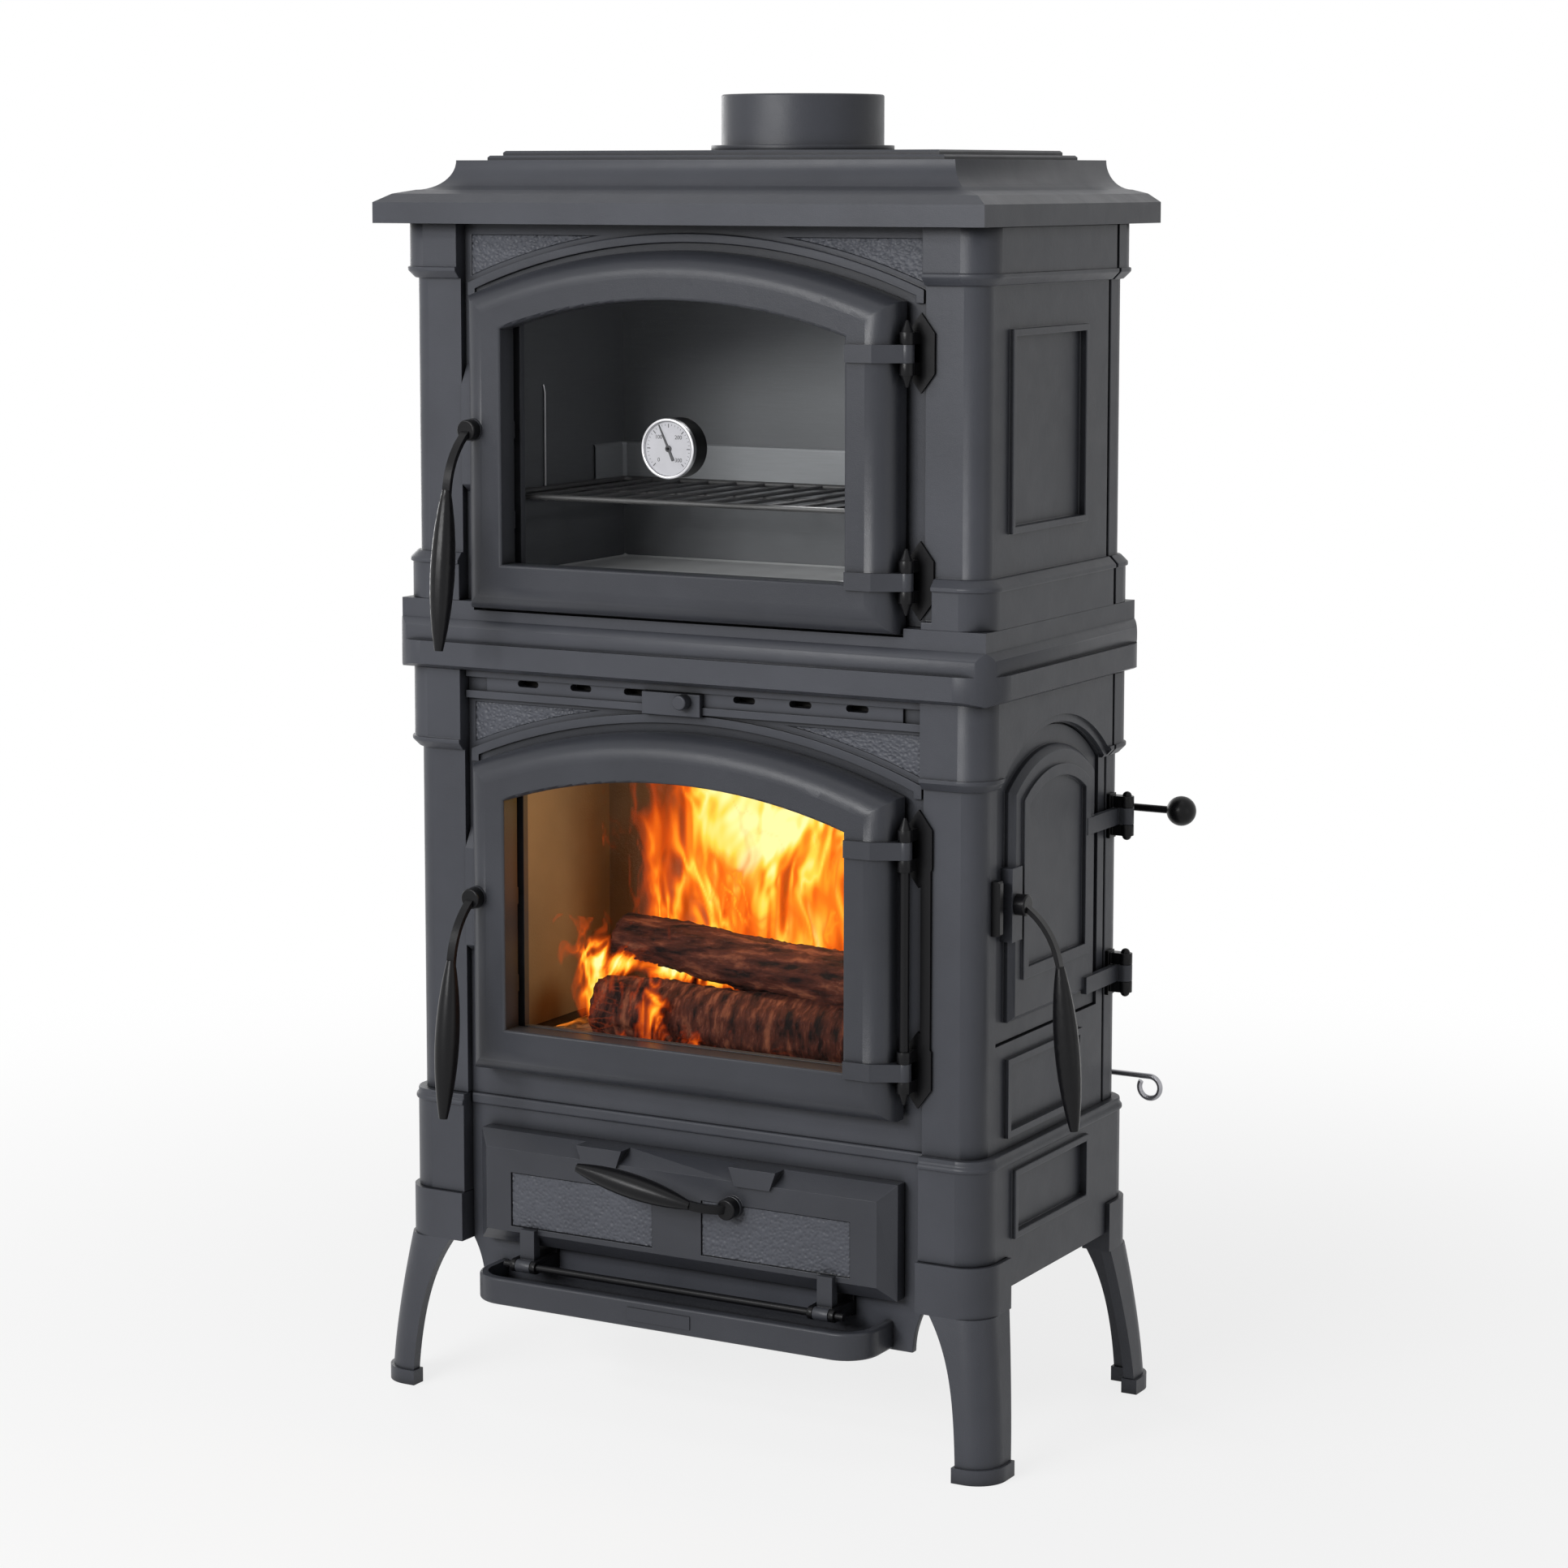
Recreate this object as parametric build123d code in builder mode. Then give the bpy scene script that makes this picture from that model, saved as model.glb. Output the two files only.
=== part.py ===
from build123d import *
import math
import os

os.makedirs("parts", exist_ok=True)

# A cast-iron wood stove with an oven above the firebox, in millimetres.
# X is the stove's width with the loading door at +X, the glass doors face -Y, Z is up.

# Heights of the tiers, from the floor up
leg_height = 184.0
skirt_height = 33.0
base_height = 109.0
fire_height = 464.0
cornice_height = 74.0
oven_height = 400.0
top_height = 66.0
hob_rise = 10.0
collar_height = 60.0

skirt_top = leg_height + skirt_height
base_top = skirt_top + base_height
fire_top = base_top + fire_height
cornice_top = fire_top + cornice_height
oven_top = cornice_top + oven_height
slab_top = oven_top + top_height
hob_top = slab_top + hob_rise

# Plan of the body
body_width = 680.0
body_depth = 342.0
corner_radius = 22.0
wall = 9.0
band_proud = 9.0
bead_proud = 11.5
bead_height = 12.0
bead_bevel = 8.0
capital_height = 76.0
oven_capital_height = 46.0
plinth_height = 39.0
post_width = 64.0
rear_post_depth = 40.0
groove_width = 5.0
lap = 24.0
post_lap = 14.0
half_width = body_width / 2
half_depth = body_depth / 2
post_edge = half_width - post_width
plate_front = half_depth - wall
plate_back = plate_front - wall
plate_half = post_edge + lap
rear_post_front = half_depth - rear_post_depth
groove_front = rear_post_front - groove_width
far = 600.0
side_middle = (groove_front - half_depth) / 2
side_half = (groove_front + half_depth) / 2

# Top slab and hob plate
slab_side_reach = 20.0
slab_end_reach = 41.0
slab_width = body_width + 2 * slab_side_reach
slab_depth = body_depth + 2 * slab_end_reach
slab_edge = 22.0
slab_slope_run = 15.0
slab_slope_rise = 9.0
slab_ledge = 18.0
slab_ledge_rise = 4.0
slab_roof = 9.0
hob_side_margin = 88.0
hob_front_margin = 88.0
hob_rear_margin = 21.0
hob_width = slab_width - 2 * hob_side_margin
hob_depth = slab_depth - hob_front_margin - hob_rear_margin
hob_front = slab_depth / 2 - hob_front_margin
hob_step = 12.0
hob_bevel = 2.0
lifter_length = 56.0
lifter_width = 16.0
lifter_depth = 5.0
lifter_inset = 34.0

# Flue collar for a 150 mm pipe
flue_bore = 152.0
flue_wall = 11.5
flue_relief = 1.5
flue_flange_reach = 22.5
flue_flange = flue_bore + 2 * flue_flange_reach
flue_flange_height = 5.0
flue_bevel = 1.5
flue_seat_rim = 1.0
flue_seat_height = 1.0
flue_rear = 93.0
flue_y = half_depth - flue_rear

# Mid cornice
cornice_proud = 22.0
roll_proud = 18.0
fascia_height = 30.0
fascia_bevel = 5.0
roll_height = 24.0
divider_bottom = 10.0
divider_thickness = 12.0
smoke_slot_width = 380.0
smoke_slot_depth = 30.0
smoke_slot_rear = 51.0
smoke_slot_y = half_depth - smoke_slot_rear

# Glass doors: both are the same casting
door_post_gap = 22.0
oven_door_drop = 6.0
oven_door_head = 26.0
fire_door_rise = 34.0
fire_door_head = 50.0
door_stand_off = 7.0
door_thickness = 39.0
door_half = post_edge - door_post_gap
oven_door_bottom = cornice_top - oven_door_drop
oven_door_top = oven_top - oven_door_head
fire_door_bottom = base_top + fire_door_rise
fire_door_top = fire_top - fire_door_head
oven_doorway = (oven_door_bottom, oven_door_top)
fire_doorway = (fire_door_bottom, fire_door_top)
door_arch_rise = 48.0
door_radius = (door_half**2 + door_arch_rise**2) / (2 * door_arch_rise)
door_border = 50.0
door_back = plate_front + door_stand_off
door_front = door_back + door_thickness
door_roll = 27.0
door_lip_round = 3.0
door_lip_relief = 3.0
door_lip_seat = 2.0
door_boss_proud = 2.0
clip_width = 18.0
clip_reach = 9.0
clip_thickness = 3.0
clip_x = 120.0

glass_thickness = 4.0
glass_lap = 12.0
glass_gap = 0.5
glass_depth = 12.0
glass_front = door_back + glass_depth

rope_gap = 0.3
rope_width = 9.0
rope_inset = 25.0
rope_seat = 3.5

opening_inset = 4.0
moulding_gap = 8.0
moulding_width = 9.0
moulding_proud = 4.0
moulding_bevel = 1.5
spandrel_depth = 2.0
spandrel_margin = 8.0
spandrel_gap = 14.0
latch_above = 68.0
latch_below = 68.0
latch_proud = 12.0
latch_bevel = 8.0
latch_slope = 22.0
latch_gap = 2.0

# Hinges of the glass doors
hinge_reach = 11.0
hinge_stand_off = 21.0
hinge_x = door_half + hinge_reach
hinge_y = door_back + hinge_stand_off
knuckle_radius = 7.5
pin_radius = 5.0
running_gap = 0.05
knuckle_height = 18.0
eye_height = 12.0
eye_gap = 0.3
finial_height = 12.0
strap_length = 48.0
strap_start = door_half - strap_length
strap_proud = 4.0
hinge_plate = 3.5
hinge_plate_width = 30.0
hinge_plate_reach = 40.0
hinge_notch_gap = 0.5
upper_strap_drop = 99.0
lower_strap_rise = 54.0

# Handles
handle_boss_radius = 11.0
handle_boss_length = 12.0
handle_shaft_radius = 5.0
handle_washer_radius = 8.0
handle_washer = 3.5
stem_width = 9.0
stem_thickness = 5.0
stem_drop = 68.0
stem_reach = 48.0
grip_length = 168.0
grip_radius = 13.0
grip_end_radius = 4.5
grip_tilt = 6.0
ash_stem_drop = 38.0
ash_stem_reach = 34.0
ash_grip_length = 132.0
ash_handle_lift = 12.0
door_handle_inset = 16.0
door_handle_x = door_half - door_handle_inset
door_handle_lift = 1.0
handle_seat = 0.3
grip_overlap = 8.0

# Air slider under the cornice
slider_end_gap = 26.0
slider_half = post_edge - slider_end_gap
slider_height = 20.0
slider_thickness = 4.0
slider_top_gap = 5.0
slider_rail = 5.0
slider_rail_lip = 3.0
slider_gap = 0.4
slot_count = 7
slot_pitch = 66.0
slot_width = 26.0
slot_height = 7.0
slider_tab_x = -17.0
slider_tab_width = 70.0
slider_tab_height = 24.0
slider_tab_thickness = 5.0
slider_knob_radius = 8.0
slider_knob_length = 13.0

# Loading door on the right side
load_shift = 11.0
load_side_margin = 28.0
load_sill_height = 112.0
load_head = 38.0
load_middle = side_middle + load_shift
load_half = side_half - load_side_margin
load_bottom = base_top + load_sill_height
load_crown = fire_top - load_head
load_radius = 176.0
load_clearance = 1.5
load_rebate = 7.0
load_gap = 0.3
load_plate = 4.0
load_overlap = 9.0
load_flange = 8.0
load_flange_width = 10.0
load_body_inset = 20.0
load_body_proud = 11.0
load_body_bevel = 6.0
load_panel_inset = 40.0
load_panel_proud = 3.0
load_field_inset = 52.0
load_field_depth = 2.0
load_panel_rise = 62.0
load_sill = load_bottom + load_panel_rise
load_hinge_stand_off = 18.0
load_hinge_reach = 37.0
load_hinge_x = half_width + load_hinge_stand_off
load_hinge_y = load_middle + load_half + load_hinge_reach
load_strap_length = 49.0
load_strap_start = load_middle + load_half - load_strap_length
load_upper_strap_drop = 116.0
load_lower_strap_rise = 28.0
load_upper_strap = load_crown - load_upper_strap_drop
load_lower_strap = load_bottom + load_lower_strap_rise
load_strap_height = 18.0
load_strap_thickness = 7.0
load_bracket_width = 16.0
load_bracket_height = 48.0
load_bracket_thickness = 4.0
load_handle_inset = 24.0
load_handle_rise = 143.0
load_handle_y = load_middle - load_half + load_handle_inset
load_handle_z = load_bottom + load_handle_rise
load_lock_width = 24.0
load_lock_height = 76.0
load_lock_proud = 3.0
catch_width = 11.0
catch_height = 56.0
catch_proud = 9.0
catch_gap = 1.0
side_arch_gap = 3.0
side_arch_width = 8.0
side_arch_depth = 3.5

# Side panels
panel_half = 90.0
panel_bead = 7.0
panel_proud = 5.0
panel_recess = 3.0
oven_panel_rise = 93.0
oven_panel_drop = 102.0
small_panel_rise = 12.0
small_panel_drop = 18.0
base_panel_rise = 17.0
base_panel_drop = 20.0
oven_panel_bottom = cornice_top + oven_panel_rise
oven_panel_top = oven_top - oven_panel_drop
small_panel_bottom = base_top + small_panel_rise
small_panel_top = load_bottom - small_panel_drop
base_panel_bottom = skirt_top + base_panel_rise
base_panel_top = base_top - base_panel_drop

# Legs
leg_proud = 14.0
leg_block_drop = 20.0
leg_flange = 12.0
leg_side_reach = 50.0
leg_radius = 30.0
leg_flare = 17.0
leg_foot_width = 40.0
leg_foot_depth = 47.0
leg_top_width = 62.0
leg_top_depth = 60.0
leg_levels = 6
foot_height = 16.0
foot_proud = 3.0
apron_drop = 70.0
apron_side_gap = 14.0
apron_bottom = leg_height - apron_drop
apron_half = post_edge - apron_side_gap
apron_curve = 14.0

# Ash door, its opening and hinge
ash_side_gap = 23.0
ash_drop = 46.0
ash_head = 33.0
ash_stand_off = 2.0
ash_thickness = 31.0
ash_half = post_edge - ash_side_gap
ash_bottom = skirt_top - ash_drop
ash_top = base_top - ash_head
ash_back = plate_front + ash_stand_off
ash_front = ash_back + ash_thickness
ash_bevel = 16.0
ash_hollow = 16.0
ash_hollow_border = 14.0
ash_open_inset = 17.0
ash_open_rise = 5.0
ash_open_drop = 9.0
ash_open_half = ash_half - ash_open_inset
ash_open_bottom = ash_bottom + ash_open_rise
ash_open_top = ash_top - ash_open_drop
ash_field_inset = 47.0
ash_field_rise = 22.0
ash_field_drop = 41.0
ash_field_half = ash_half - ash_field_inset
ash_field_bottom = ash_bottom + ash_field_rise
ash_field_top = ash_top - ash_field_drop
ash_field_depth = 3.0
ash_strip_half = 30.0
ash_lug_x = 93.0
ash_lug_width = 56.0
ash_lug_height = 20.0
ash_lug_proud = 4.0
ash_handle_x = 68.0
ash_handle_drop = 43.0
ash_handle_z = ash_top - ash_handle_drop
ash_hinge_inset = 72.0
ash_hinge_stand_off = 12.0
ash_hinge_drop = 16.0
ash_hinge_x = ash_half - ash_hinge_inset
ash_hinge_y = ash_front + ash_hinge_stand_off
ash_hinge_z = ash_bottom - ash_hinge_drop
ash_knuckle_radius = 7.0
ash_knuckle_width = 18.0
ash_cheek = 6.0
ash_cheek_gap = 0.4
ash_rod_radius = 4.0
ash_rod_reach = 25.0
ash_rod_half = ash_hinge_x + ash_rod_reach

# Hearth lip
lip_side_inset = 13.0
lip_stand_off = 25.0
lip_drop = 39.0
lip_half = ash_half - lip_side_inset
lip_front = ash_hinge_y + lip_stand_off
lip_bottom = ash_hinge_z - lip_drop
lip_height = 29.0
lip_floor = 10.0
lip_rim = 9.0
lip_corner = 38.0
lip_round = 3.0
name_half = 38.0
name_height = 14.0
name_proud = 1.0

# Ash box and pan
box_sheet = 4.0
ash_box_reach = 16.0
ash_box_drop = 10.0
ash_box_end_gap = 23.0
pan_side_gap = 8.0
pan_front_gap = 3.0
pan_rear_gap = 10.0
ash_box_half = ash_open_half + ash_box_reach
ash_box_floor = ash_open_bottom - ash_box_drop
ash_box_rear = half_depth - ash_box_end_gap
pan_half = ash_open_half - pan_side_gap
pan_front = plate_back - pan_front_gap
pan_rear = ash_box_rear - pan_rear_gap
pan_height = 84.0
pan_sheet = 2.0

# Firebox
floor_rise = 20.0
floor_top = fire_door_bottom + floor_rise
floor_thickness = 12.0
floor_skirt = 9.0
lining_thickness = 34.0
lining_side_space = 76.0
lining_front_gap = 3.0
lining_rear_space = 67.0
lining_drop = 20.0
lining_half = half_width - lining_side_space
lining_front = plate_back - lining_front_gap
lining_rear = half_depth - lining_rear_space
lining_top = fire_top - lining_drop
lining_hatch_margin = 6.0
grate_half_x = 110.0
grate_half_y = 60.0
grate_thickness = 10.0
grate_travel = 15.0
grate_gap = 1.0
grate_seat = 0.3
grate_slots = 9
grate_slot_width = 10.0
grate_rail = 12.0

# Rods behind the back
rod_stand_off = 21.0
rod_y = half_depth + rod_stand_off
damper_radius = 4.0
damper_drop = 152.0
damper_z = fire_top - damper_drop
damper_inner_x = 100.0
damper_ball_reach = 61.0
damper_ball_x = half_width + damper_ball_reach
damper_ball_radius = 16.0
damper_travel = 60.0
damper_end_depth = 29.0
damper_inner_y = half_depth - damper_end_depth
shaker_radius = 3.0
shaker_drop = 36.0
shaker_z = floor_top - shaker_drop
shaker_inner_x = 96.0
shaker_inner_y = 30.0
shaker_loop_reach = 28.0
shaker_loop_x = half_width + shaker_loop_reach
shaker_loop_radius = 12.0
shaker_peg_radius = 6.0
shaker_loop_turn = 300.0
rod_bend = 9.0
rod_eye = 7.0
rod_eye_width = 12.0
rod_slot_gap = 3.0
outer_eye_inset = 78.0
damper_eye_inset = 150.0
shaker_eye_inset = 180.0
damper_eyes = (half_width - damper_eye_inset, half_width - outer_eye_inset)
shaker_eyes = (half_width - shaker_eye_inset, half_width - outer_eye_inset)

# Oven
liner_side_gap = 16.0
liner_rise = 26.0
liner_drop = 52.0
liner_end_gap = 41.0
liner_half = post_edge - liner_side_gap
liner_bottom = oven_door_bottom + liner_rise
liner_top = oven_top - liner_drop
liner_front = plate_back
liner_rear = half_depth - liner_end_gap
liner_sheet = 3.0
liner_flange = 18.0
liner_skid = 24.0
liner_skid_inset = 70.0
liner_skid_x = liner_half - liner_skid_inset
runner_rise = 84.0
runner_z = liner_bottom + runner_rise
runner_width = 10.0
runner_thickness = 4.0
rack_wire = 3.0
rack_bar = 2.0
rack_bars = 13
rack_gap = 1.0
rack_corner = 12.0

# Thermometer in the middle of the oven glass
dial_rise = 179.0
dial_proud = 1.0
dial_z = oven_door_bottom + dial_rise
dial_radius = 31.0
dial_front = door_front + dial_proud
dial_rim = 3.0
dial_rim_depth = 3.0
dial_stem_radius = 4.0
dial_stem_length = 45.0
needle_length = 40.0
needle_width = 3.0
needle_thickness = 1.0
needle_hub = 3.5
needle_gap = 0.4
needle_post_radius = 1.5
needle_angle = 25.0

# The origin lies on the floor, under the middle of the whole stove with its handles
load_back = half_width - load_rebate + load_gap
load_face = load_back + load_plate
load_front = load_face + load_body_proud
load_seat = load_front + load_lock_proud
door_seat = door_front + door_boss_proud
grip_lean = math.radians(grip_tilt)
grip_bulge = grip_end_radius + (grip_radius - grip_end_radius) * 3 / 4
grip_reach = stem_reach + grip_length * 3 / 4 * math.sin(grip_lean) + grip_bulge * math.cos(grip_lean)
foot_reach = half_width + leg_proud + leg_flare + foot_proud
centre_x = (foot_reach - load_seat - grip_reach) / 2
centre_y = (door_seat + grip_reach - slab_depth / 2) / 2
plan = Plane(origin=(centre_x, centre_y, 0))
front = Plane(origin=(centre_x, centre_y, 0), x_dir=(1, 0, 0), z_dir=(0, -1, 0))
side = Plane(origin=(centre_x, centre_y, 0), x_dir=(0, 1, 0), z_dir=(1, 0, 0))


# Shared shapes


def brick(x, y, z, mode=Mode.ADD):
    """Box given by its spans in width, depth and height."""
    middle = ((x[0] + x[1]) / 2, (y[0] + y[1]) / 2, (z[0] + z[1]) / 2)
    with Locations(plan.location * Location(middle)):
        Box(abs(x[1] - x[0]), abs(y[1] - y[0]), abs(z[1] - z[0]), mode=mode)


def bar(plane, at, start, end, radius, mode=Mode.ADD):
    """Round bar square to a plane, at a point of it, between two offsets."""
    with BuildSketch(plane.offset(start)) as disc:
        with Locations(at):
            Circle(radius)
    extrude(disc.sketch, amount=end - start, mode=mode)


def upright(proud, bottom, top):
    """Prism over the body's rounded outline, grown outward by proud."""
    with BuildPart() as prism:
        with BuildSketch(plan.offset(bottom)):
            RectangleRounded(body_width + 2 * proud, body_depth + 2 * proud, corner_radius + proud)
        extrude(amount=top - bottom)
    return prism.part


def bead(bottom, bevelled):
    """Narrow band round the body with one bevelled rim: -1 its top, 0 its foot."""
    with BuildPart() as ring:
        add(upright(bead_proud, bottom, bottom + bead_height))
        chamfer(ring.faces().sort_by(Axis.Z)[bevelled].edges(), length=bead_bevel)
    return ring.part


def arched_outline(half, bottom, crown, radius, centre=0.0):
    """Face with a level foot, upright sides and a segmental arch."""
    springing = crown - radius + math.sqrt(radius**2 - half**2)
    with BuildLine() as outline:
        Polyline(
            (centre - half, springing),
            (centre - half, bottom),
            (centre + half, bottom),
            (centre + half, springing),
        )
        ThreePointArc((centre + half, springing), (centre, crown), (centre - half, springing))
    make_face(outline.edges())


def door_outline(doorway, inset):
    """Outline of a glass door, from the heights of its foot and crown, drawn in all round by inset."""
    bottom, top = doorway
    arched_outline(door_half - inset, bottom + inset, top - inset, door_radius - inset)


def load_outline(grow):
    """Outline of the loading door, grown all round."""
    arched_outline(
        load_half + grow, load_bottom - grow, load_crown + grow, load_radius + grow, load_middle
    )


def panel_moulding(distance, bottom, top):
    """Raised bead round a rectangular side panel, with its field sunk a little."""
    middle = (side_middle, (bottom + top) / 2)
    with BuildSketch(side.offset(distance)) as field:
        with Locations(middle):
            Rectangle(2 * (panel_half - panel_bead), top - bottom - 2 * panel_bead)
    with BuildSketch(side.offset(distance)) as frame:
        with Locations(middle):
            Rectangle(2 * panel_half, top - bottom)
        add(field.sketch_local, mode=Mode.SUBTRACT)
    extrude(frame.sketch, amount=panel_proud)
    extrude(field.sketch, amount=-panel_recess, mode=Mode.SUBTRACT)


# Base: frame, front casting, ash box, hearth lip

leg_block_bottom = leg_height - leg_block_drop
leg_gap_y = half_depth - leg_side_reach

with BuildPart() as base_frame:
    add(upright(band_proud, leg_height, base_top))
    add(bead(base_top - bead_height, -1))
    add(upright(-2 * wall, leg_height, base_top), mode=Mode.SUBTRACT)
    add(upright(-wall, skirt_top, base_top - wall), mode=Mode.SUBTRACT)
    brick((-post_edge, post_edge), (-far, 0), (leg_height, base_top), mode=Mode.SUBTRACT)
    for x in (-1, 1):
        for y in (-1, 1):
            brick((x * post_edge, x * far), (y * leg_gap_y, y * far), (leg_height, skirt_top), Mode.SUBTRACT)
    brick((-plate_half, plate_half), (-plate_front, -plate_back), (skirt_top, base_top), mode=Mode.SUBTRACT)
    panel_moulding(half_width + band_proud, base_panel_bottom, base_panel_top)
base_frame.part.label = "base_frame"
export_step(base_frame.part, "parts/base_frame.step")

with BuildPart() as base_front:
    with BuildSketch(front.offset(plate_back)):
        with BuildLine():
            Polyline(
                (0, base_top),
                (plate_half, base_top),
                (plate_half, skirt_top),
                (post_edge, skirt_top),
                (post_edge, leg_block_bottom),
            )
            ThreePointArc(
                (post_edge, leg_block_bottom),
                (apron_half + apron_curve / 4, (leg_block_bottom + apron_bottom) / 2),
                (apron_half, apron_bottom),
            )
            Polyline((apron_half, apron_bottom), (0, apron_bottom), (0, base_top))
        make_face()
        mirror(about=Plane.YZ)
    extrude(amount=wall)
    with BuildSketch(front.offset(plate_front)):
        with Locations((0, base_top - bead_height / 2)):
            Rectangle(2 * post_edge - 2, bead_height)
    extrude(amount=moulding_proud)
    chamfer(base_front.faces().sort_by(Axis.Y)[0].edges(), length=moulding_bevel)
    brick(
        (-ash_open_half, ash_open_half), (-far, 0), (ash_open_bottom, ash_open_top), mode=Mode.SUBTRACT
    )
base_front.part.label = "base_front"
export_step(base_front.part, "parts/base_front.step")

with BuildPart() as ash_box:
    brick((-ash_box_half, ash_box_half), (-plate_back, ash_box_rear), (ash_box_floor, skirt_top))
    add(upright(-wall, skirt_top, skirt_top + box_sheet))
    brick(
        (-ash_box_half + box_sheet, ash_box_half - box_sheet),
        (-far, ash_box_rear - box_sheet),
        (ash_box_floor + box_sheet, far),
        mode=Mode.SUBTRACT,
    )
    brick((-far, far), (-far, -plate_back), (0, far), mode=Mode.SUBTRACT)
ash_box.part.label = "ash_box"
export_step(ash_box.part, "parts/ash_box.step")

lip_depth = lip_front - plate_front
lip_top = lip_bottom + lip_height

with BuildPart() as hearth_lip:
    with BuildSketch(plan.offset(lip_bottom)):
        with Locations((0, -plate_front - lip_depth / 2)):
            lip_outline = Rectangle(2 * lip_half, lip_depth)
        fillet(lip_outline.vertices().group_by(Axis.Y)[0], radius=lip_corner)
    extrude(amount=lip_height)
    fillet(hearth_lip.faces().sort_by(Axis.Z)[-1].edges().sort_by(Axis.Y)[:-1], radius=lip_round)
    fillet(hearth_lip.faces().sort_by(Axis.Z)[0].edges().sort_by(Axis.Y)[:-1], radius=lip_round)
    with BuildSketch(plan.offset(lip_bottom + lip_floor)):
        with Locations((0, -plate_front - (lip_depth - lip_rim) / 2)):
            tray = Rectangle(2 * (lip_half - lip_rim), lip_depth - lip_rim)
        fillet(tray.vertices().group_by(Axis.Y)[0], radius=lip_corner - lip_rim)
    extrude(amount=lip_height, mode=Mode.SUBTRACT)
    name_middle = lip_bottom + lip_height / 2
    brick(
        (-name_half, name_half),
        (-lip_front - name_proud, -lip_front + name_proud),
        (name_middle - name_height / 2, name_middle + name_height / 2),
    )
hearth_lip.part.label = "hearth_lip"
export_step(hearth_lip.part, "parts/hearth_lip.step")


# Legs: an angle section that flares outward as it goes down


def leg_section(height, grow=0.0):
    """Angle-shaped outline of a leg at one height, at the front right corner, grown all round."""
    share = height / leg_block_bottom
    spread = leg_proud + leg_flare * (1 - share**1.5) + grow
    width = leg_foot_width + (leg_top_width - leg_foot_width) * share**4 + 2 * grow
    depth = leg_foot_depth + (leg_top_depth - leg_foot_depth) * share + 2 * grow
    flange = leg_flange + 2 * grow
    radius = leg_radius + grow
    x = half_width + spread
    y = -half_depth - spread
    centre = (x - radius, y + radius)
    with BuildSketch(plan.offset(height)) as section:
        with BuildLine():
            Line((x - width, y), (x - radius, y))
            CenterArc(centre, radius, -90, 90)
            Polyline(
                (x, y + radius),
                (x, y + depth),
                (x - flange, y + depth),
                (x - flange, y + radius),
            )
            CenterArc(centre, radius - flange, 0, -90)
            Polyline((x - radius, y + flange), (x - width, y + flange), (x - width, y))
        make_face()
    return section.sketch


with BuildPart() as leg_front_right:
    add(upright(leg_proud, leg_block_bottom, skirt_top))
    add(upright(-2 * wall, leg_block_bottom, skirt_top), mode=Mode.SUBTRACT)
    brick((post_edge, far), (-far, -leg_gap_y), (0, skirt_top), mode=Mode.INTERSECT)
    level_step = (leg_block_bottom - foot_height) / leg_levels
    loft([leg_section(foot_height + step * level_step) for step in range(leg_levels + 1)])
    extrude(leg_section(0, foot_proud), amount=foot_height)
leg_front_right.part.label = "leg_front_right"
export_step(leg_front_right.part, "parts/leg_front_right.step")

with BuildPart() as leg_front_left:
    mirror(leg_front_right.part, about=side)
leg_front_left.part.label = "leg_front_left"
export_step(leg_front_left.part, "parts/leg_front_left.step")

with BuildPart() as leg_rear_right:
    mirror(leg_front_right.part, about=front)
leg_rear_right.part.label = "leg_rear_right"
export_step(leg_rear_right.part, "parts/leg_rear_right.step")

with BuildPart() as leg_rear_left:
    mirror(leg_rear_right.part, about=side)
leg_rear_left.part.label = "leg_rear_left"
export_step(leg_rear_left.part, "parts/leg_rear_left.step")


# Tier walls: corner castings with their bands, cut from one moulded skin each

fire_capital = fire_top - capital_height
oven_capital = oven_top - oven_capital_height
plinth_top = cornice_top + plinth_height

with BuildPart() as fire_skin:
    add(upright(0, base_top, fire_top))
    add(upright(band_proud, fire_capital, fire_top))
    add(bead(fire_capital - bead_height, 0))
    add(upright(-wall, base_top, fire_top), mode=Mode.SUBTRACT)

with BuildPart() as oven_skin:
    add(upright(0, cornice_top, oven_top))
    add(upright(band_proud, cornice_top, plinth_top))
    add(bead(plinth_top, -1))
    add(upright(band_proud, oven_capital, oven_top))
    add(bead(oven_capital - bead_height, 0))
    add(upright(-wall, cornice_top, oven_top), mode=Mode.SUBTRACT)


def corner_casting(skin, bottom, top):
    """Front corner and side wall of one tier, up to the groove before the rear post."""
    with BuildPart() as casting:
        add(skin)
        brick((post_edge, far), (-far, groove_front), (bottom, top), mode=Mode.INTERSECT)
    return casting.part


def rear_post(skin, bottom, top):
    """Rear corner of one tier, with a lap behind the groove and the side wall."""
    with BuildPart() as post:
        add(skin)
        brick((post_edge, far), (rear_post_front, far), (bottom, top), mode=Mode.INTERSECT)
        brick(
            (half_width - 2 * wall, half_width - wall),
            (groove_front - post_lap, half_depth - wall),
            (bottom, top),
        )
    return post.part


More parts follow.
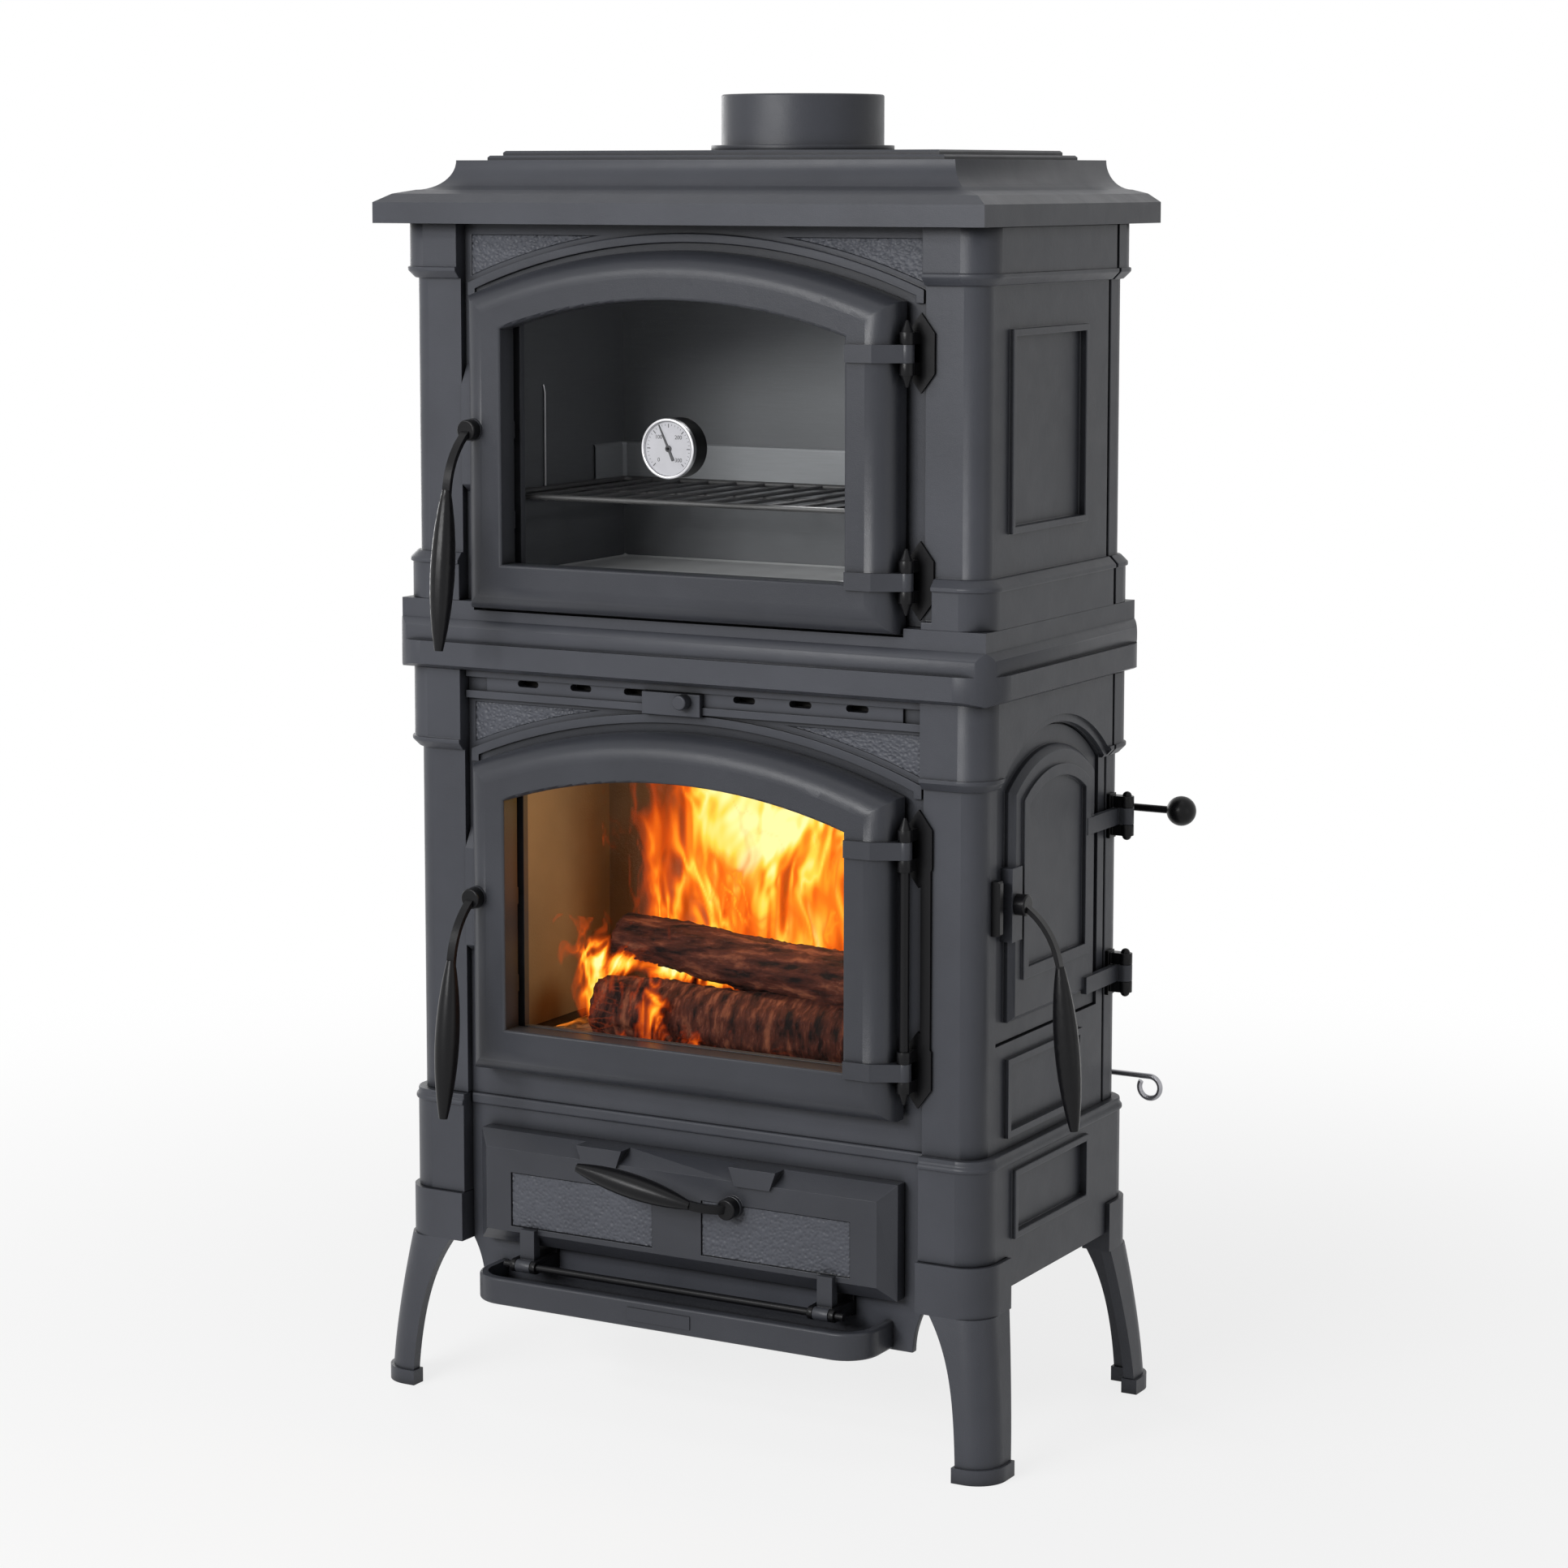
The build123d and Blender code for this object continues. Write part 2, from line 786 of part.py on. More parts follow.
with BuildPart() as lower_side_right:
    add(corner_casting(fire_skin.part, base_top, fire_top))
    panel_moulding(half_width, small_panel_bottom, small_panel_top)
    with BuildSketch(side.offset(half_width - wall)) as hatch_flange:
        load_outline(load_flange_width - load_overlap)
    extrude(amount=-load_flange)
    with BuildSketch(side.offset(half_width)):
        load_outline(load_clearance)
    extrude(amount=-load_rebate, mode=Mode.SUBTRACT)
    with BuildSketch(side.offset(half_width)):
        load_outline(-load_overlap)
    extrude(amount=-wall - load_flange, mode=Mode.SUBTRACT)
    with BuildSketch(side.offset(half_width)):
        load_outline(side_arch_gap)
    extrude(amount=band_proud + bead_proud, mode=Mode.SUBTRACT)
    with BuildSketch(side.offset(half_width + band_proud - side_arch_depth)):
        load_outline(side_arch_gap + side_arch_width)
    extrude(amount=band_proud, mode=Mode.SUBTRACT)
lower_side_right.part.label = "lower_side_right"
export_step(lower_side_right.part, "parts/lower_side_right.step")

with BuildPart() as lower_side_left:
    add(corner_casting(fire_skin.part, base_top, fire_top))
    panel_moulding(half_width, small_panel_bottom, small_panel_top)
    panel_moulding(half_width, load_bottom + load_body_inset, fire_capital - load_body_inset)
    mirror(about=side)
    brick((-far, 0), (-far, far), (base_top, fire_top), mode=Mode.INTERSECT)
lower_side_left.part.label = "lower_side_left"
export_step(lower_side_left.part, "parts/lower_side_left.step")

with BuildPart() as lower_post_right:
    add(rear_post(fire_skin.part, base_top, fire_top))
lower_post_right.part.label = "lower_post_right"
export_step(lower_post_right.part, "parts/lower_post_right.step")

with BuildPart() as lower_post_left:
    mirror(lower_post_right.part, about=side)
lower_post_left.part.label = "lower_post_left"
export_step(lower_post_left.part, "parts/lower_post_left.step")

with BuildPart() as oven_side:
    add(corner_casting(oven_skin.part, cornice_top, oven_top))
    panel_moulding(half_width, oven_panel_bottom, oven_panel_top)

with BuildPart() as oven_side_right:
    add(oven_side.part)
    notch_bottom = oven_door_bottom + lower_strap_rise - hinge_plate_reach - hinge_notch_gap
    brick(
        (0, hinge_x - knuckle_radius + hinge_plate_width + hinge_notch_gap),
        (-far, -half_depth),
        (notch_bottom, plinth_top + 2 * bead_height),
        mode=Mode.SUBTRACT,
    )
oven_side_right.part.label = "oven_side_right"
export_step(oven_side_right.part, "parts/oven_side_right.step")

with BuildPart() as oven_side_left:
    mirror(oven_side.part, about=side)
oven_side_left.part.label = "oven_side_left"
export_step(oven_side_left.part, "parts/oven_side_left.step")

with BuildPart() as upper_post_right:
    add(rear_post(oven_skin.part, cornice_top, oven_top))
upper_post_right.part.label = "upper_post_right"
export_step(upper_post_right.part, "parts/upper_post_right.step")

with BuildPart() as upper_post_left:
    mirror(upper_post_right.part, about=side)
upper_post_left.part.label = "upper_post_left"
export_step(upper_post_left.part, "parts/upper_post_left.step")


# Front and back castings of the tiers


def front_plate(bottom, top, doorway):
    """Front casting behind a glass door: opening, arch moulding, sunk spandrels and a latch pad."""
    door_bottom, door_top = doorway
    pad_middle = (door_bottom + door_top) / 2
    with BuildPart() as plate:
        brick((-plate_half, plate_half), (-plate_front, -plate_back), (bottom, top))
        with BuildSketch(front.offset(plate_front)) as arch:
            door_outline(doorway, -moulding_gap - moulding_width)
            with BuildSketch(mode=Mode.SUBTRACT):
                door_outline(doorway, -moulding_gap)
            with BuildSketch(mode=Mode.SUBTRACT):
                with Locations((0, door_bottom)):
                    Rectangle(far, 2 * (door_top - door_bottom - door_border))
            with BuildSketch(mode=Mode.INTERSECT):
                with Locations((0, door_bottom)):
                    Rectangle(2 * post_edge - 2, 4 * (door_top - door_bottom))
        extrude(amount=moulding_proud)
        field_top = min(top - spandrel_margin, door_top + spandrel_gap)
        with BuildSketch(front.offset(plate_front)):
            with Locations((0, field_top - door_border)):
                Rectangle(2 * (post_edge - spandrel_margin), 2 * door_border)
            with BuildSketch(mode=Mode.SUBTRACT):
                door_outline(doorway, -spandrel_gap - moulding_width)
        extrude(amount=-spandrel_depth, mode=Mode.SUBTRACT)
        with BuildSketch(front.offset(plate_front)):
            door_outline(doorway, door_border - opening_inset)
        extrude(amount=-wall, mode=Mode.SUBTRACT)
        with BuildSketch(side.offset(-post_edge + 1)) as pad:
            with BuildLine():
                Polyline(
                    (-plate_front, pad_middle - latch_below),
                    (-plate_front - latch_proud, pad_middle - latch_below + latch_bevel),
                    (-plate_front - latch_proud, pad_middle + latch_above - latch_slope),
                    (-plate_front, pad_middle + latch_above),
                    (-plate_front, pad_middle - latch_below),
                )
            make_face()
        extrude(pad.sketch, amount=door_post_gap - 1 - latch_gap)
    return plate.part


slider_bottom = fire_top - slider_top_gap - slider_gap - slider_height - slider_gap
rail_depth = slider_thickness + 2 * slider_gap + slider_rail_lip
slot_middle = slider_bottom + slider_height - slot_height

with BuildPart() as fire_front:
    add(front_plate(base_top, fire_top, fire_doorway))
    for rail, lip in ((slider_bottom, 1), (slider_bottom + slider_height, -1)):
        shelf = rail - lip * slider_gap
        brick(
            (-post_edge + 1, post_edge - 1),
            (-plate_front - rail_depth, -plate_front),
            (shelf - lip * slider_rail, shelf),
        )
        brick(
            (-post_edge + 1, post_edge - 1),
            (-plate_front - rail_depth, -plate_front - rail_depth + slider_rail_lip - slider_gap),
            (shelf - lip, shelf + lip * slider_rail_lip),
        )
    with BuildSketch(front.offset(plate_front)):
        with Locations((0, slot_middle)):
            with GridLocations(slot_pitch, 1, slot_count, 1):
                SlotOverall(slot_width, slot_height)
    extrude(amount=-wall, mode=Mode.SUBTRACT)
fire_front.part.label = "fire_front"
export_step(fire_front.part, "parts/fire_front.step")

tab_back = plate_front + rail_depth + slider_gap

with BuildPart() as air_slider:
    brick(
        (-slider_half, slider_half),
        (-plate_front - slider_gap - slider_thickness, -plate_front - slider_gap),
        (slider_bottom, slider_bottom + slider_height),
    )
    with BuildSketch(front.offset(plate_front)):
        with Locations((0, slot_middle)):
            with GridLocations(slot_pitch, 1, slot_count, 1):
                SlotOverall(slot_width, slot_height)
    extrude(amount=2 * slider_thickness, mode=Mode.SUBTRACT)
    tab_span = (slider_tab_x - slider_tab_width / 2, slider_tab_x + slider_tab_width / 2)
    neck_bottom = slider_bottom + slider_rail_lip + slider_gap
    brick(
        tab_span,
        (-tab_back, -plate_front - slider_gap - slider_thickness),
        (neck_bottom, slider_bottom + slider_height - slider_rail_lip - slider_gap),
    )
    tab_top = slider_bottom + slider_height - slider_rail_lip - slider_gap
    brick(tab_span, (-tab_back - slider_tab_thickness, -tab_back), (tab_top - slider_tab_height, tab_top))
    fillet(air_slider.faces().sort_by(Axis.Y)[0].edges().filter_by(Axis.Y, reverse=True), radius=1)
    knob_start = tab_back + slider_tab_thickness
    knob_end = knob_start + slider_knob_length
    bar(front, (0, tab_top - slider_knob_radius), knob_start, knob_end, slider_knob_radius)
    fillet(air_slider.faces().sort_by(Axis.Y)[0].edges(), radius=2)
air_slider.part.label = "air_slider"
export_step(air_slider.part, "parts/air_slider.step")

with BuildPart() as oven_front:
    add(front_plate(cornice_top, oven_top, oven_doorway))
oven_front.part.label = "oven_front"
export_step(oven_front.part, "parts/oven_front.step")

with BuildPart() as lower_back:
    brick((-plate_half, plate_half), (plate_back, plate_front), (base_top, fire_top))
    eye_reach = rod_y + rod_eye
    for eyes, height in ((damper_eyes, damper_z), (shaker_eyes, shaker_z)):
        for x in eyes:
            brick(
                (x - rod_eye_width / 2, x + rod_eye_width / 2),
                (plate_front, eye_reach),
                (height - rod_eye, height + rod_eye),
            )
    for radius, height in ((damper_radius, damper_z), (shaker_radius, shaker_z)):
        bar(side, (rod_y, height), 0, post_edge, radius + running_gap, mode=Mode.SUBTRACT)
    for start, end, radius, height in (
        (damper_inner_x, damper_inner_x + damper_travel, damper_radius, damper_z),
        (shaker_inner_x - grate_travel, shaker_inner_x + grate_travel, shaker_radius, shaker_z),
    ):
        reach = radius + rod_slot_gap
        brick((start - reach, end + reach), (0, far), (height - reach, height + reach), mode=Mode.SUBTRACT)
lower_back.part.label = "lower_back"
export_step(lower_back.part, "parts/lower_back.step")

with BuildPart() as oven_back:
    brick((-plate_half, plate_half), (plate_back, plate_front), (cornice_top, oven_top))
oven_back.part.label = "oven_back"
export_step(oven_back.part, "parts/oven_back.step")


# Mid cornice: one profile across the front and one along the sides, meeting in a mitre


def cornice_half(reach):
    """Half of the cornice's outline: bevelled fascia, roll and level top."""
    fascia_top = fire_top + fascia_height
    roll_top = fascia_top + roll_height
    with BuildLine() as outline:
        Polyline(
            (0, cornice_top),
            (0, fire_top),
            (reach + band_proud, fire_top),
            (reach + cornice_proud, fire_top + fascia_bevel),
            (reach + cornice_proud, fascia_top),
            (reach + roll_proud - 2, fascia_top),
        )
        ThreePointArc(
            (reach + roll_proud - 2, fascia_top),
            (reach + roll_proud - 1, fascia_top + roll_height / 2),
            (reach + band_proud, roll_top),
        )
        Polyline((reach + band_proud, roll_top), (reach + band_proud, cornice_top), (0, cornice_top))
    make_face(outline.edges())
    mirror(about=Plane.YZ)


with BuildPart() as cornice_length:
    with BuildSketch(front):
        cornice_half(half_width)
    extrude(amount=far, both=True)

with BuildPart() as mid_cornice:
    with BuildSketch(side):
        cornice_half(half_depth)
    extrude(amount=far, both=True)
    add(cornice_length.part, mode=Mode.INTERSECT)
    add(upright(cornice_proud, fire_top, cornice_top), mode=Mode.INTERSECT)
    divider = fire_top + divider_bottom
    add(upright(-2 * wall, fire_top, divider), mode=Mode.SUBTRACT)
    add(upright(-2 * wall, divider + divider_thickness, cornice_top), mode=Mode.SUBTRACT)
    brick(
        (-smoke_slot_width / 2, smoke_slot_width / 2),
        (smoke_slot_y - smoke_slot_depth / 2, smoke_slot_y + smoke_slot_depth / 2),
        (fire_top, cornice_top),
        mode=Mode.SUBTRACT,
    )
    brick(
        (-door_half - door_lip_relief, door_half + door_lip_relief),
        (-far, -plate_front - door_lip_seat),
        (oven_door_bottom - door_lip_relief, cornice_top),
        mode=Mode.SUBTRACT,
    )
mid_cornice.part.label = "mid_cornice"
export_step(mid_cornice.part, "parts/mid_cornice.step")


# Top: slab with its cove, hob plate, flue collar

cove_start = slab_slope_run + slab_ledge
cove_foot = oven_top + slab_edge + slab_slope_rise + slab_ledge_rise
cove_radius = slab_top - cove_foot
cove_inset = cove_start + cove_radius


def slab_edge_points(edge, direction):
    """Outline points of the moulded slab edge, from its foot up to the cove."""
    return [
        (edge, oven_top),
        (edge, oven_top + slab_edge),
        (edge - direction * slab_slope_run, oven_top + slab_edge + slab_slope_rise),
        (edge - direction * cove_start, cove_foot),
    ]


def cove(edge, direction):
    """Quarter-round hollow from the slab's ledge up to its top."""
    rise = cove_radius * math.sqrt(0.5)
    ThreePointArc(
        (edge - direction * cove_start, cove_foot),
        (edge - direction * (cove_start + rise), slab_top - rise),
        (edge - direction * cove_inset, slab_top),
    )


with BuildPart() as slab_length:
    with BuildSketch(front):
        with BuildLine():
            Polyline((0, slab_top), (0, oven_top), *slab_edge_points(slab_width / 2, 1))
            cove(slab_width / 2, 1)
            Line((slab_width / 2 - cove_inset, slab_top), (0, slab_top))
        make_face()
        mirror(about=Plane.YZ)
    extrude(amount=far, both=True)

with BuildPart() as top_plate:
    with BuildSketch(side):
        with BuildLine():
            Polyline(
                (0, slab_top),
                (slab_depth / 2, slab_top),
                (slab_depth / 2, oven_top),
                *slab_edge_points(-slab_depth / 2, -1),
            )
            cove(-slab_depth / 2, -1)
            Line((cove_inset - slab_depth / 2, slab_top), (0, slab_top))
        make_face()
    extrude(amount=far, both=True)
    add(slab_length.part, mode=Mode.INTERSECT)
    pocket_x = slab_width / 2 - cove_inset - wall
    pocket_y = slab_depth / 2 - cove_inset - wall
    add(upright(-2 * wall, oven_top, oven_top + slab_edge), mode=Mode.SUBTRACT)
    brick(
        (-pocket_x, pocket_x), (-pocket_y, plate_back), (oven_top, slab_top - slab_roof), mode=Mode.SUBTRACT
    )
    bar(plan, (0, flue_y), oven_top, slab_top, flue_bore / 2 + flue_relief, mode=Mode.SUBTRACT)
top_plate.part.label = "top_plate"
export_step(top_plate.part, "parts/top_plate.step")

hob_middle = hob_depth / 2 - hob_front
flue_seat = hob_top + flue_seat_height

with BuildPart() as hob_plate:
    for inset, bottom in ((0, slab_top), (hob_step, slab_top + hob_rise / 2)):
        with BuildSketch(plan.offset(bottom)):
            with Locations((0, hob_middle)):
                Rectangle(hob_width - 2 * inset, hob_depth - 2 * inset)
        extrude(amount=hob_rise / 2)
        chamfer(hob_plate.faces().sort_by(Axis.Z)[-1].edges(), length=hob_bevel)
    with BuildSketch(plan.offset(hob_top)):
        with Locations((hob_width / 2 - hob_step - lifter_inset, hob_middle - hob_depth / 4)):
            SlotOverall(lifter_length, lifter_width)
    extrude(amount=-lifter_depth, mode=Mode.SUBTRACT)
    bar(plan, (0, flue_y), hob_top, flue_seat, flue_flange / 2 + flue_seat_rim)
    bar(plan, (0, flue_y), slab_top, flue_seat, flue_bore / 2 + flue_relief, mode=Mode.SUBTRACT)
hob_plate.part.label = "hob_plate"
export_step(hob_plate.part, "parts/hob_plate.step")

with BuildPart() as flue_collar:
    bar(plan, (0, flue_y), flue_seat, hob_top + collar_height, flue_bore / 2 + flue_wall)
    bar(plan, (0, flue_y), flue_seat, flue_seat + flue_flange_height, flue_flange / 2)
    bar(plan, (0, flue_y), flue_seat, hob_top + collar_height, flue_bore / 2, mode=Mode.SUBTRACT)
    chamfer(flue_collar.faces().sort_by(Axis.Z)[-1].edges().sort_by(SortBy.LENGTH)[-1], length=flue_bevel)
flue_collar.part.label = "flue_collar"
export_step(flue_collar.part, "parts/flue_collar.step")


# Glass doors


def strap_heights(doorway):
    """Heights of the lower and upper hinge strap of a glass door."""
    bottom, top = doorway
    return (bottom + lower_strap_rise, top - upper_strap_drop)


def door_strap(height):
    """Hinge strap on the front of a glass door, with its knuckle."""
    with BuildPart() as strap:
        with BuildSketch(plan.offset(height - knuckle_height / 2)):
            with BuildLine():
                Polyline(
                    (strap_start, -door_front + strap_proud),
                    (strap_start, -door_front - strap_proud),
                    (hinge_x - 2 * knuckle_radius - door_roll / 2, -door_front - strap_proud),
                    (hinge_x, -hinge_y - knuckle_radius),
                    (hinge_x, -hinge_y + knuckle_radius),
                    (hinge_x - 2 * knuckle_radius, -hinge_y + knuckle_radius),
                    (strap_start, -door_front + strap_proud),
                )
            make_face()
        extrude(amount=knuckle_height)
        start = height - knuckle_height / 2
        bar(plan, (hinge_x, -hinge_y), start, start + knuckle_height, knuckle_radius)
    return strap.part


def glass_door(doorway):
    """Rolled cast frame with a rebate for its glass and a groove for its rope."""
    bottom, top = doorway
    handle_height = (bottom + top) / 2 + door_handle_lift
    with BuildPart() as door:
        with BuildSketch(front.offset(door_back)) as outline:
            door_outline(doorway, 0)
        extrude(outline.sketch, amount=door_front - door_back)
        fillet(door.faces().sort_by(Axis.Y)[0].edges(), radius=door_roll)
        with BuildSketch(front.offset(door_back)) as opening:
            door_outline(doorway, door_border)
        extrude(opening.sketch, amount=door_front - door_back, mode=Mode.SUBTRACT)
        fillet(door.faces().sort_by(Axis.Y)[0].inner_wires()[0].edges(), radius=door_lip_round)
        with BuildSketch(front.offset(door_back)) as rebate:
            door_outline(doorway, door_border - glass_lap - glass_gap)
        extrude(rebate.sketch, amount=glass_front - door_back, mode=Mode.SUBTRACT)
        with BuildSketch(front.offset(door_back)) as groove:
            door_outline(doorway, rope_inset - rope_gap)
            with BuildSketch(mode=Mode.SUBTRACT):
                door_outline(doorway, rope_inset + rope_width + rope_gap)
        extrude(groove.sketch, amount=rope_seat, mode=Mode.SUBTRACT)
        clip_back = glass_front - glass_thickness
        clip_z = ((3 * bottom + top) / 4, (bottom + top) / 2)
        for x in (-1, 1):
            edge = door_half - door_border + glass_lap + glass_gap
            for z in clip_z:
                brick(
                    (x * (edge - clip_reach), x * (edge + 1)),
                    (-clip_back, -clip_back + clip_thickness),
                    (z - clip_width / 2, z + clip_width / 2),
                )
            foot = bottom + door_border - glass_lap - glass_gap
            brick(
                (x * clip_x, x * (clip_x + clip_width)),
                (-clip_back, -clip_back + clip_thickness),
                (foot - 1, foot + clip_reach),
            )
        boss_top = door_front + door_boss_proud
        bar(front, (-door_handle_x, handle_height), glass_front, boss_top, handle_boss_radius + 1)
        for height in strap_heights(doorway):
            add(door_strap(height))
        bar(
            front,
            (-door_handle_x, handle_height),
            0,
            boss_top,
            handle_shaft_radius + running_gap,
            mode=Mode.SUBTRACT,
        )
        bar(
            plan,
            (hinge_x, -hinge_y),
            bottom,
            top,
            pin_radius + running_gap,
            mode=Mode.SUBTRACT,
        )
    return door.part


def door_glass(doorway):
    """Pane of a glass door, seated against the frame's rebate."""
    with BuildPart() as pane:
        with BuildSketch(front.offset(glass_front - glass_thickness)) as outline:
            door_outline(doorway, door_border - glass_lap)
        extrude(outline.sketch, amount=glass_thickness)
    return pane.part


def door_rope(doorway):
    """Flat rope gasket between a glass door and its front casting."""
    rope_front = door_back + rope_seat - rope_gap
    with BuildPart() as rope:
        with BuildSketch(front.offset(plate_front + rope_gap)) as outline:
            door_outline(doorway, rope_inset)
            with BuildSketch(mode=Mode.SUBTRACT):
                door_outline(doorway, rope_inset + rope_width)
        extrude(outline.sketch, amount=rope_front - plate_front - rope_gap)
    return rope.part


with BuildPart() as fire_door:
    add(glass_door(fire_doorway))
fire_door.part.label = "fire_door"
export_step(fire_door.part, "parts/fire_door.step")

with BuildPart() as oven_door:
    add(glass_door(oven_doorway))
oven_door.part.label = "oven_door"
export_step(oven_door.part, "parts/oven_door.step")

with BuildPart() as fire_glass:
    add(door_glass(fire_doorway))
fire_glass.part.label = "fire_glass"
export_step(fire_glass.part, "parts/fire_glass.step")

with BuildPart() as oven_glass:
    add(door_glass(oven_doorway))
    bar(front, (0, dial_z), 0, glass_front, dial_stem_radius + glass_gap, mode=Mode.SUBTRACT)
oven_glass.part.label = "oven_glass"
export_step(oven_glass.part, "parts/oven_glass.step")

with BuildPart() as fire_rope:
    add(door_rope(fire_doorway))
fire_rope.part.label = "fire_rope"
export_step(fire_rope.part, "parts/fire_rope.step")

with BuildPart() as oven_rope:
    add(door_rope(oven_doorway))
oven_rope.part.label = "oven_rope"
export_step(oven_rope.part, "parts/oven_rope.step")


# Hinge brackets of the glass doors


def hinge_bracket(height, reach):
    """Two eyes on arms, above and below a strap, with a pointed plate over the post's edge."""
    with BuildPart() as bracket:
        with BuildSketch(front.offset(half_depth)) as outline:
            with Locations((hinge_x + hinge_plate_width / 2 - knuckle_radius, height)):
                Polygon(
                    (0, reach),
                    (hinge_plate_width / 2, reach / 2),
                    (hinge_plate_width / 2, -reach / 2),
                    (0, -reach),
                    (-hinge_plate_width / 2, -reach / 2),
                    (-hinge_plate_width / 2, reach / 2),
                )
        extrude(outline.sketch, amount=hinge_plate)
        brick(
            (hinge_x - knuckle_radius + 1, post_edge - 1),
            (-half_depth, -plate_front),
            (height - reach / 2, height + reach / 2),
        )
        for z in (height + knuckle_height / 2 + eye_gap, height - knuckle_height / 2 - eye_gap - eye_height):
            bar(plan, (hinge_x, -hinge_y), z, z + eye_height, knuckle_radius)
            arm = (hinge_x - knuckle_radius + 1, hinge_x + knuckle_radius - 1)
            brick(arm, (-hinge_y, -half_depth), (z, z + eye_height))
    return bracket.part


def hinge_pin(bottom, top):
    """Hinge pin with a pointed finial at each end."""
    with BuildPart() as pin:
        bar(plan, (hinge_x, -hinge_y), bottom, top, pin_radius)
        for start, direction in ((top, 1), (bottom, -1)):
            middle = (hinge_x, -hinge_y, start + direction * finial_height / 2)
            with Locations(plan.location * Location(middle)):
                Cone(
                    pin_radius + 1.5 if direction > 0 else 1.5,
                    1.5 if direction > 0 else pin_radius + 1.5,
                    finial_height,
                )
    return pin.part


pin_reach = knuckle_height / 2 + eye_gap + eye_height

with BuildPart() as oven_hinge_upper:
    strap_z = strap_heights(oven_doorway)[1]
    add(hinge_bracket(strap_z, hinge_plate_reach))
    add(hinge_pin(strap_z - pin_reach, strap_z + pin_reach))
oven_hinge_upper.part.label = "oven_hinge_upper"
export_step(oven_hinge_upper.part, "parts/oven_hinge_upper.step")

with BuildPart() as oven_hinge_lower:
    strap_z = strap_heights(oven_doorway)[0]
    add(hinge_bracket(strap_z, hinge_plate_reach))
    add(hinge_pin(strap_z - pin_reach, strap_z + pin_reach))
oven_hinge_lower.part.label = "oven_hinge_lower"
export_step(oven_hinge_lower.part, "parts/oven_hinge_lower.step")

fire_straps = strap_heights(fire_doorway)

with BuildPart() as fire_hinge:
    for height in fire_straps:
        add(hinge_bracket(height, hinge_plate_reach))
    brick(
        (post_edge - 1, post_edge + hinge_plate_width / 3),
        (-half_depth - hinge_plate, -half_depth),
        fire_straps,
    )
    bar(plan, (hinge_x, -hinge_y), base_top, fire_top, pin_radius + running_gap, mode=Mode.SUBTRACT)
fire_hinge.part.label = "fire_hinge"
export_step(fire_hinge.part, "parts/fire_hinge.step")

with BuildPart() as fire_hinge_pin:
    add(hinge_pin(fire_straps[0] - pin_reach, fire_straps[1] + pin_reach))
fire_hinge_pin.part.label = "fire_hinge_pin"
export_step(fire_hinge_pin.part, "parts/fire_hinge_pin.step")


# Handles: a boss on a shaft through the door, a curved stem and a lens-shaped grip


def handle(seat, depth, drop, reach, length):
    """Handle that hangs along -Y of the seat plane and stands off along its +Z."""
    profile = Plane(origin=seat.origin, x_dir=seat.z_dir, z_dir=seat.x_dir)
    grip = Plane(
        origin=profile.from_local_coords((reach, drop - grip_overlap)),
        x_dir=profile.x_dir * math.cos(grip_lean) - profile.y_dir * math.sin(grip_lean),
        z_dir=profile.z_dir,
    )
    with BuildPart() as lever:
        bar(seat, (0, 0), handle_seat, handle_seat + handle_boss_length, handle_boss_radius)
        fillet(lever.edges().sort_by(Axis(seat.origin, seat.z_dir))[-1], radius=2)
        bar(seat, (0, 0), -depth - handle_seat, handle_seat, handle_shaft_radius)
        bar(seat, (0, 0), -depth - handle_seat - handle_washer, -depth - handle_seat, handle_washer_radius)
        with BuildSketch(profile) as stem:
            with BuildLine():
                ThreePointArc(
                    (handle_boss_length / 2, 0),
                    (handle_boss_length / 2 + reach * 0.62, drop * 0.42),
                    (reach, drop),
                )
            trace(line_width=stem_thickness)
        extrude(stem.sketch, amount=stem_width / 2, both=True)
        with BuildSketch(grip) as lens:
            with BuildLine():
                Polyline((grip_end_radius, 0), (0, 0), (0, length), (grip_end_radius, length))
                ThreePointArc((grip_end_radius, length), (grip_radius, length / 2), (grip_end_radius, 0))
            make_face()
        revolve(lens.sketch, axis=Axis(grip.origin, grip.y_dir))
    return lever.part


def front_seat(x, z, distance, turn=0.0):
    """Seat plane on the front, facing forward and turned anticlockwise by an angle in degrees."""
    lean = math.radians(turn)
    return Plane(
        origin=front.from_local_coords((x, z, distance)),
        x_dir=(math.cos(lean), 0, math.sin(lean)),
        z_dir=front.z_dir,
    )


with BuildPart() as oven_handle:
    seat = front_seat(-door_handle_x, sum(oven_doorway) / 2 + door_handle_lift, door_seat)
    add(handle(seat, door_seat - door_back, stem_drop, stem_reach, grip_length))
oven_handle.part.label = "oven_handle"
export_step(oven_handle.part, "parts/oven_handle.step")

with BuildPart() as fire_handle:
    seat = front_seat(-door_handle_x, sum(fire_doorway) / 2 + door_handle_lift, door_seat)
    add(handle(seat, door_seat - door_back, stem_drop, stem_reach, grip_length))
fire_handle.part.label = "fire_handle"
export_step(fire_handle.part, "parts/fire_handle.step")


# Thermometer

dial_back = glass_front
dial_face = dial_front - dial_rim_depth

with BuildPart() as thermometer_case:
    bar(front, (0, dial_z), dial_back, dial_front, dial_radius)
    fillet(thermometer_case.edges().sort_by(Axis.Y)[0], radius=1.5)
    bar(front, (0, dial_z), dial_face, dial_front, dial_radius - dial_rim, mode=Mode.SUBTRACT)
    bar(front, (0, dial_z), dial_back - dial_stem_length, dial_back, dial_stem_radius)
    bar(front, (0, dial_z), dial_face, dial_front - needle_gap, needle_post_radius)
thermometer_case.part.label = "thermometer_case"
export_step(thermometer_case.part, "parts/thermometer_case.step")

